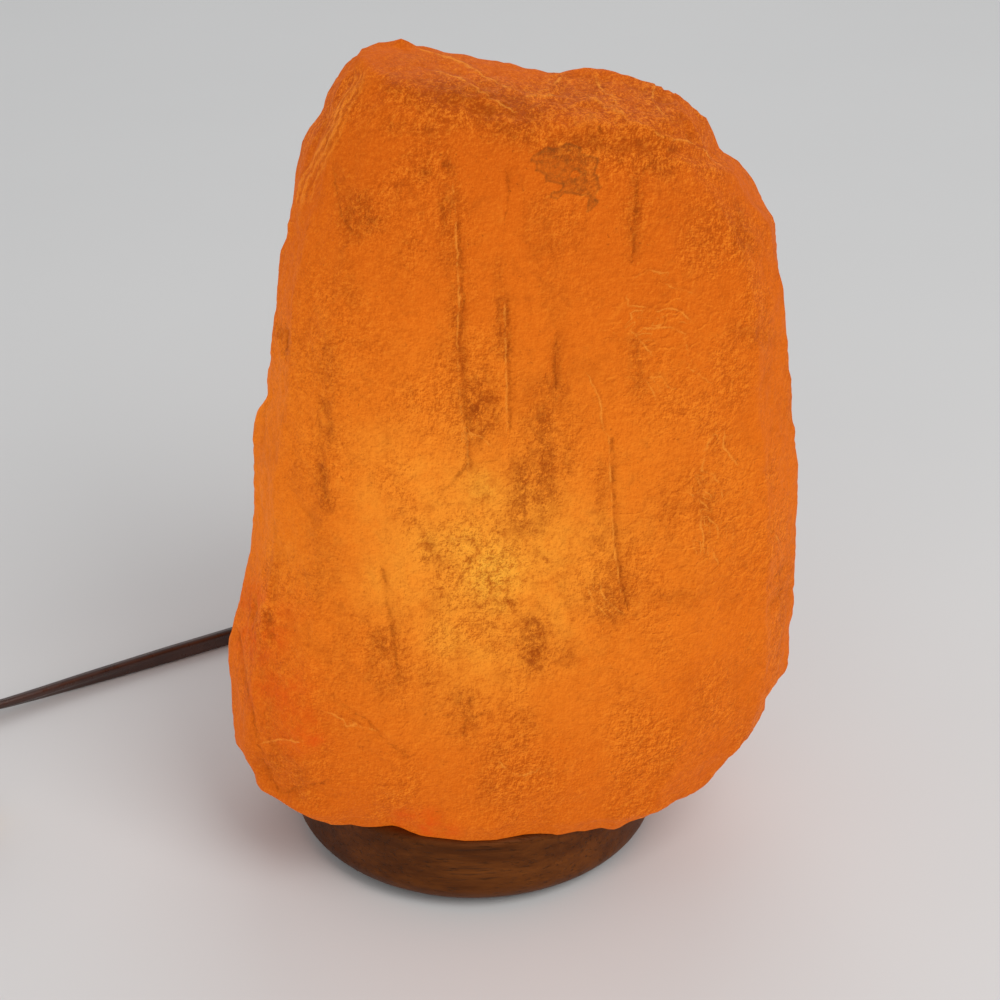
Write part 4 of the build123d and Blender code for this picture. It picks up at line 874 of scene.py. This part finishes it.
def relief_of_lines(skin):
    """The crest, the top's ridges and ledge, the long furrows and the cracks."""
    relief = 0.7 * hump(skin.beside(CREST)[0], 2.2)
    for line in TOP_RIDGES:
        distance, side = skin.beside(line)
        relief += 0.5 * hump(distance, 1.4) - 0.5 * hump(side - 2.2, 1.4) * hump(distance, 3)
    distance, side = skin.beside(LEDGE)
    relief += (0.5 * hump(side + 1.0, 1.6) - 0.6 * hump(side - 3, 2.4)) * hump(distance, 5)
    for line in GROOVES:
        distance, side = skin.beside(line)
        relief += 0.5 * hump(side + 1.8, 0.9) * hump(distance, 3)
        relief -= 0.7 * (1 + skin.grain) * hump(distance, 1.0)
    for line in CRACKS:
        distance, side = skin.beside(line)
        relief += 0.25 * hump(side - 1.5, 1.0) * hump(distance, 3) - 0.5 * hump(distance, 0.9)
    return skin.facing * relief


def relief_of_spots(skin):
    """Pits with raised rims, grit in the dirty spots, and the patches of scales, feathers and grit."""
    relief = 0.9 * skin.ridges(5.5, 9.1, (1.3, 1, 0.9), 6) * skin.patch(SCALE_PATCH)
    relief += 0.6 * skin.ridges(3.0, 2.2, (2.4, 1, 0.7), 5) * skin.patch(FEATHER_PATCH)
    relief += 0.6 * skin.grain * skin.patch(HOT_PATCH)
    for u, v, radius, deep in PITS:
        distance = skin.from_spot(u, v) / PX_PER_MM
        relief += 0.4 * deep * hump(distance - 1.8 * radius, 0.6 * radius) - deep * hump(distance, radius)
    for start, end, wide, _ in DIRT_SPOTS:
        relief += 0.4 * hump(skin.beside((start, end))[0], wide / PX_PER_MM) * (skin.grain - 0.3)
    return skin.facing * relief


def dirt_layer(skin):
    """Faint dirt all over, more of it on the unseen side, and the dirty spots of the front; also darker in
    the front's pits.
    """
    dirt = 0.22 * ease(skin.noise(16, 4, (1, 1, 2.2), 11.7), 0.1, 0.8)
    dirt += 0.35 * ease(skin.noise(13, 4, (1, 1, 2.4), 5.7), 0.45, 0.9) * (1 - skin.facing)
    for start, end, wide, dense in DIRT_SPOTS:
        near = skin.facing * hump(skin.beside((start, end))[0], wide / PX_PER_MM)
        specks = ease(skin.noise(6, 4, (1, 1, 1.6), dense), -0.6, 0.25)
        dirt = np.maximum(dirt, dense * near * specks)
    # Darker in the pits of the front.
    for u, v, radius, _ in PITS:
        dirt = np.maximum(dirt, 0.7 * skin.facing * hump(skin.from_spot(u, v) / PX_PER_MM, radius))
    return dirt


def stain_layer(skin):
    """The stain under the top's edge, ragged at its rim."""
    inside = np.max([radius - skin.from_spot(u, v) for u, v, radius in STAIN], axis=0)
    return skin.facing * ease(inside + 5.0 * skin.noise(2.4, shift=5.5), -3, 4)


def rough_layer(skin, dirt):
    """Where the salt is crumbly: in dirt, along the top's edge, in rough spots and at random."""
    edge = np.max([hump(skin.beside(line)[0], 3.0) for line in TOP_RIDGES[2:] + [LEDGE]], axis=0)
    anywhere = ease(skin.noise(22, 3, (1, 1, 1.6), 2.9), 0.0, 0.7)
    return np.clip(0.9 * dirt + 0.7 * edge * skin.facing + 0.8 * skin.spot_layer(ROUGH_SPOTS)
                   + 0.8 * skin.top + 0.5 * anywhere, 0, 1.2)


def scaly_layer(skin):
    """Where curved scale edges show."""
    anywhere = ease(skin.noise(40, 2, shift=6.6), 0.15, 0.5)
    patches = skin.patch(SCALE_PATCH) + 0.5 * skin.patch(FEATHER_PATCH) + 0.7 * skin.patch(FACET_PATCH)
    return np.clip(skin.facing * patches + 0.6 * anywhere, 0, 1)


def crest_layers(skin):
    """How near the crest is, fading towards its ends, and the offset from it."""
    distance, side = skin.beside(CREST)
    ends = ease(skin.v, 66, 84) * ease(skin.v, 214, 180)
    return skin.facing * hump(distance, 4.0) * ends, side


def level_of(skin):
    """Broad unevenness, chips off the outline and an uneven foot."""
    level = 0.9 * skin.noise(34, 2)
    for u, v, radius, deep in CHIPS:
        level -= deep * hump(skin.from_spot(u, v) / PX_PER_MM, radius) * (skin.y < 40)
    foot = ease(skin.z, SEAT_Z + 12, SEAT_Z + 2)
    return level + skin.noise(9, shift=1.3) * foot * skin.facing


def trim_outline(skin, moved):
    """Moves the top, the flanks and the foot in or out where they make the outline."""
    moved[:, 2] += along_table(CROWN_RISE, skin.u) * ease(skin.z, 196, 216) * skin.horizon
    flank = skin.horizon * ease(np.abs(skin.normals[:, 0]), 0.25, 0.8) * skin.free * ease(skin.z, 228, 215)
    moved[:, 0] += flank * np.where(skin.x < 0, -along_table(LEFT_STAND, skin.v),
                                    along_table(RIGHT_STAND, skin.v))
    foot = ease(skin.z, SEAT_Z + 16, SEAT_Z + 6) * ease(-skin.y, 26, 40)
    moved[:, 1] -= foot * along_table(FOOT_STAND, skin.u)
    moved[:, 2] = np.maximum(moved[:, 2], SEAT_Z)


def carve(piece):
    """Gives the stone its relief, its outline and the layers that its shader reads."""
    skin = Skin(piece)
    relief = relief_all_over(skin) + relief_of_lines(skin) + relief_of_spots(skin)
    dirt = dirt_layer(skin)
    layers = {"relief": relief, "dirt": np.clip(dirt, 0, 1), "red": skin.spot_layer(RED_SPOTS),
              "hot": skin.spot_layer(HOT_SPOTS), "stain": stain_layer(skin),
              "rough": rough_layer(skin, dirt), "scaly": scaly_layer(skin)}
    # Layers for the painted highlights along ridges with painted shade beside them, and for the painted shade
    # along grooves and cracks.
    layers["pale_near"], layers["pale_side"] = skin.line_layers(PALE_LINES)
    layers["dark_near"], layers["dark_side"] = skin.line_layers(GROOVES + CRACKS)
    layers["crest_near"], layers["crest_side"] = crest_layers(skin)
    moved = skin.places + skin.normals * ((relief + level_of(skin)) * skin.free)[:, None]
    trim_outline(skin, moved)
    piece.data.vertices.foreach_set("co", (moved / 1000).ravel())
    for name, values in layers.items():
        layer = piece.data.attributes.new(name, "FLOAT", "POINT")
        layer.data.foreach_set("value", values.astype(np.float32))
    piece.data.update()


stone = outer_shape()
cutter = bore_cutter()
cut = stone.modifiers.new("bore", "BOOLEAN")
cut.object, cut.operation, cut.solver = cutter, "DIFFERENCE", "EXACT"
choose(stone)
bpy.ops.object.modifier_apply(modifier="bore")
bpy.data.objects.remove(cutter)
carve(stone)
smooth(stone, 75)
finish_piece(stone, "stone_and_base", "salt", "salt_crystal")


# ---------------------------------------------------------------- floor and light

bpy.ops.mesh.primitive_plane_add(size=8)
floor = bpy.context.object
floor.name = "floor"
floor_shader = Shader("pale_floor")
floor_shade = floor_shader.mix(floor_shader.noise(300), (0.60, 0.595, 0.585), (0.64, 0.635, 0.625))
floor_shader.set(Base_Color=floor_shade, Roughness=0.7)
floor.data.materials.append(floor_shader.material)


LIGHT_TARGET = (0, 0, 0.1)


def softbox(name, place, size, power):
    """A square light that looks at the lamp."""
    data = bpy.data.lights.new(name, "AREA")
    data.shape, data.size, data.energy = "SQUARE", size, power
    lamp = bpy.data.objects.new(name, data)
    lamp.location = place
    lamp.rotation_euler = (Vector(LIGHT_TARGET) - Vector(place)).to_track_quat("-Z", "Y").to_euler()
    bpy.context.scene.collection.objects.link(lamp)


softbox("key", (0.7, -0.9, 1.3), 0.9, 15)
softbox("fill", (-0.2, -1.4, 0.8), 1.0, 5)
softbox("back", (0.1, 1.2, 1.2), 1.0, 4.5)
world = bpy.data.worlds.new("studio")
world.use_nodes = True
sky = world.node_tree.nodes["Background"]
sky.inputs["Color"].default_value = (0.9, 0.92, 0.95, 1)
sky.inputs["Strength"].default_value = 0.54
bpy.context.scene.world = world
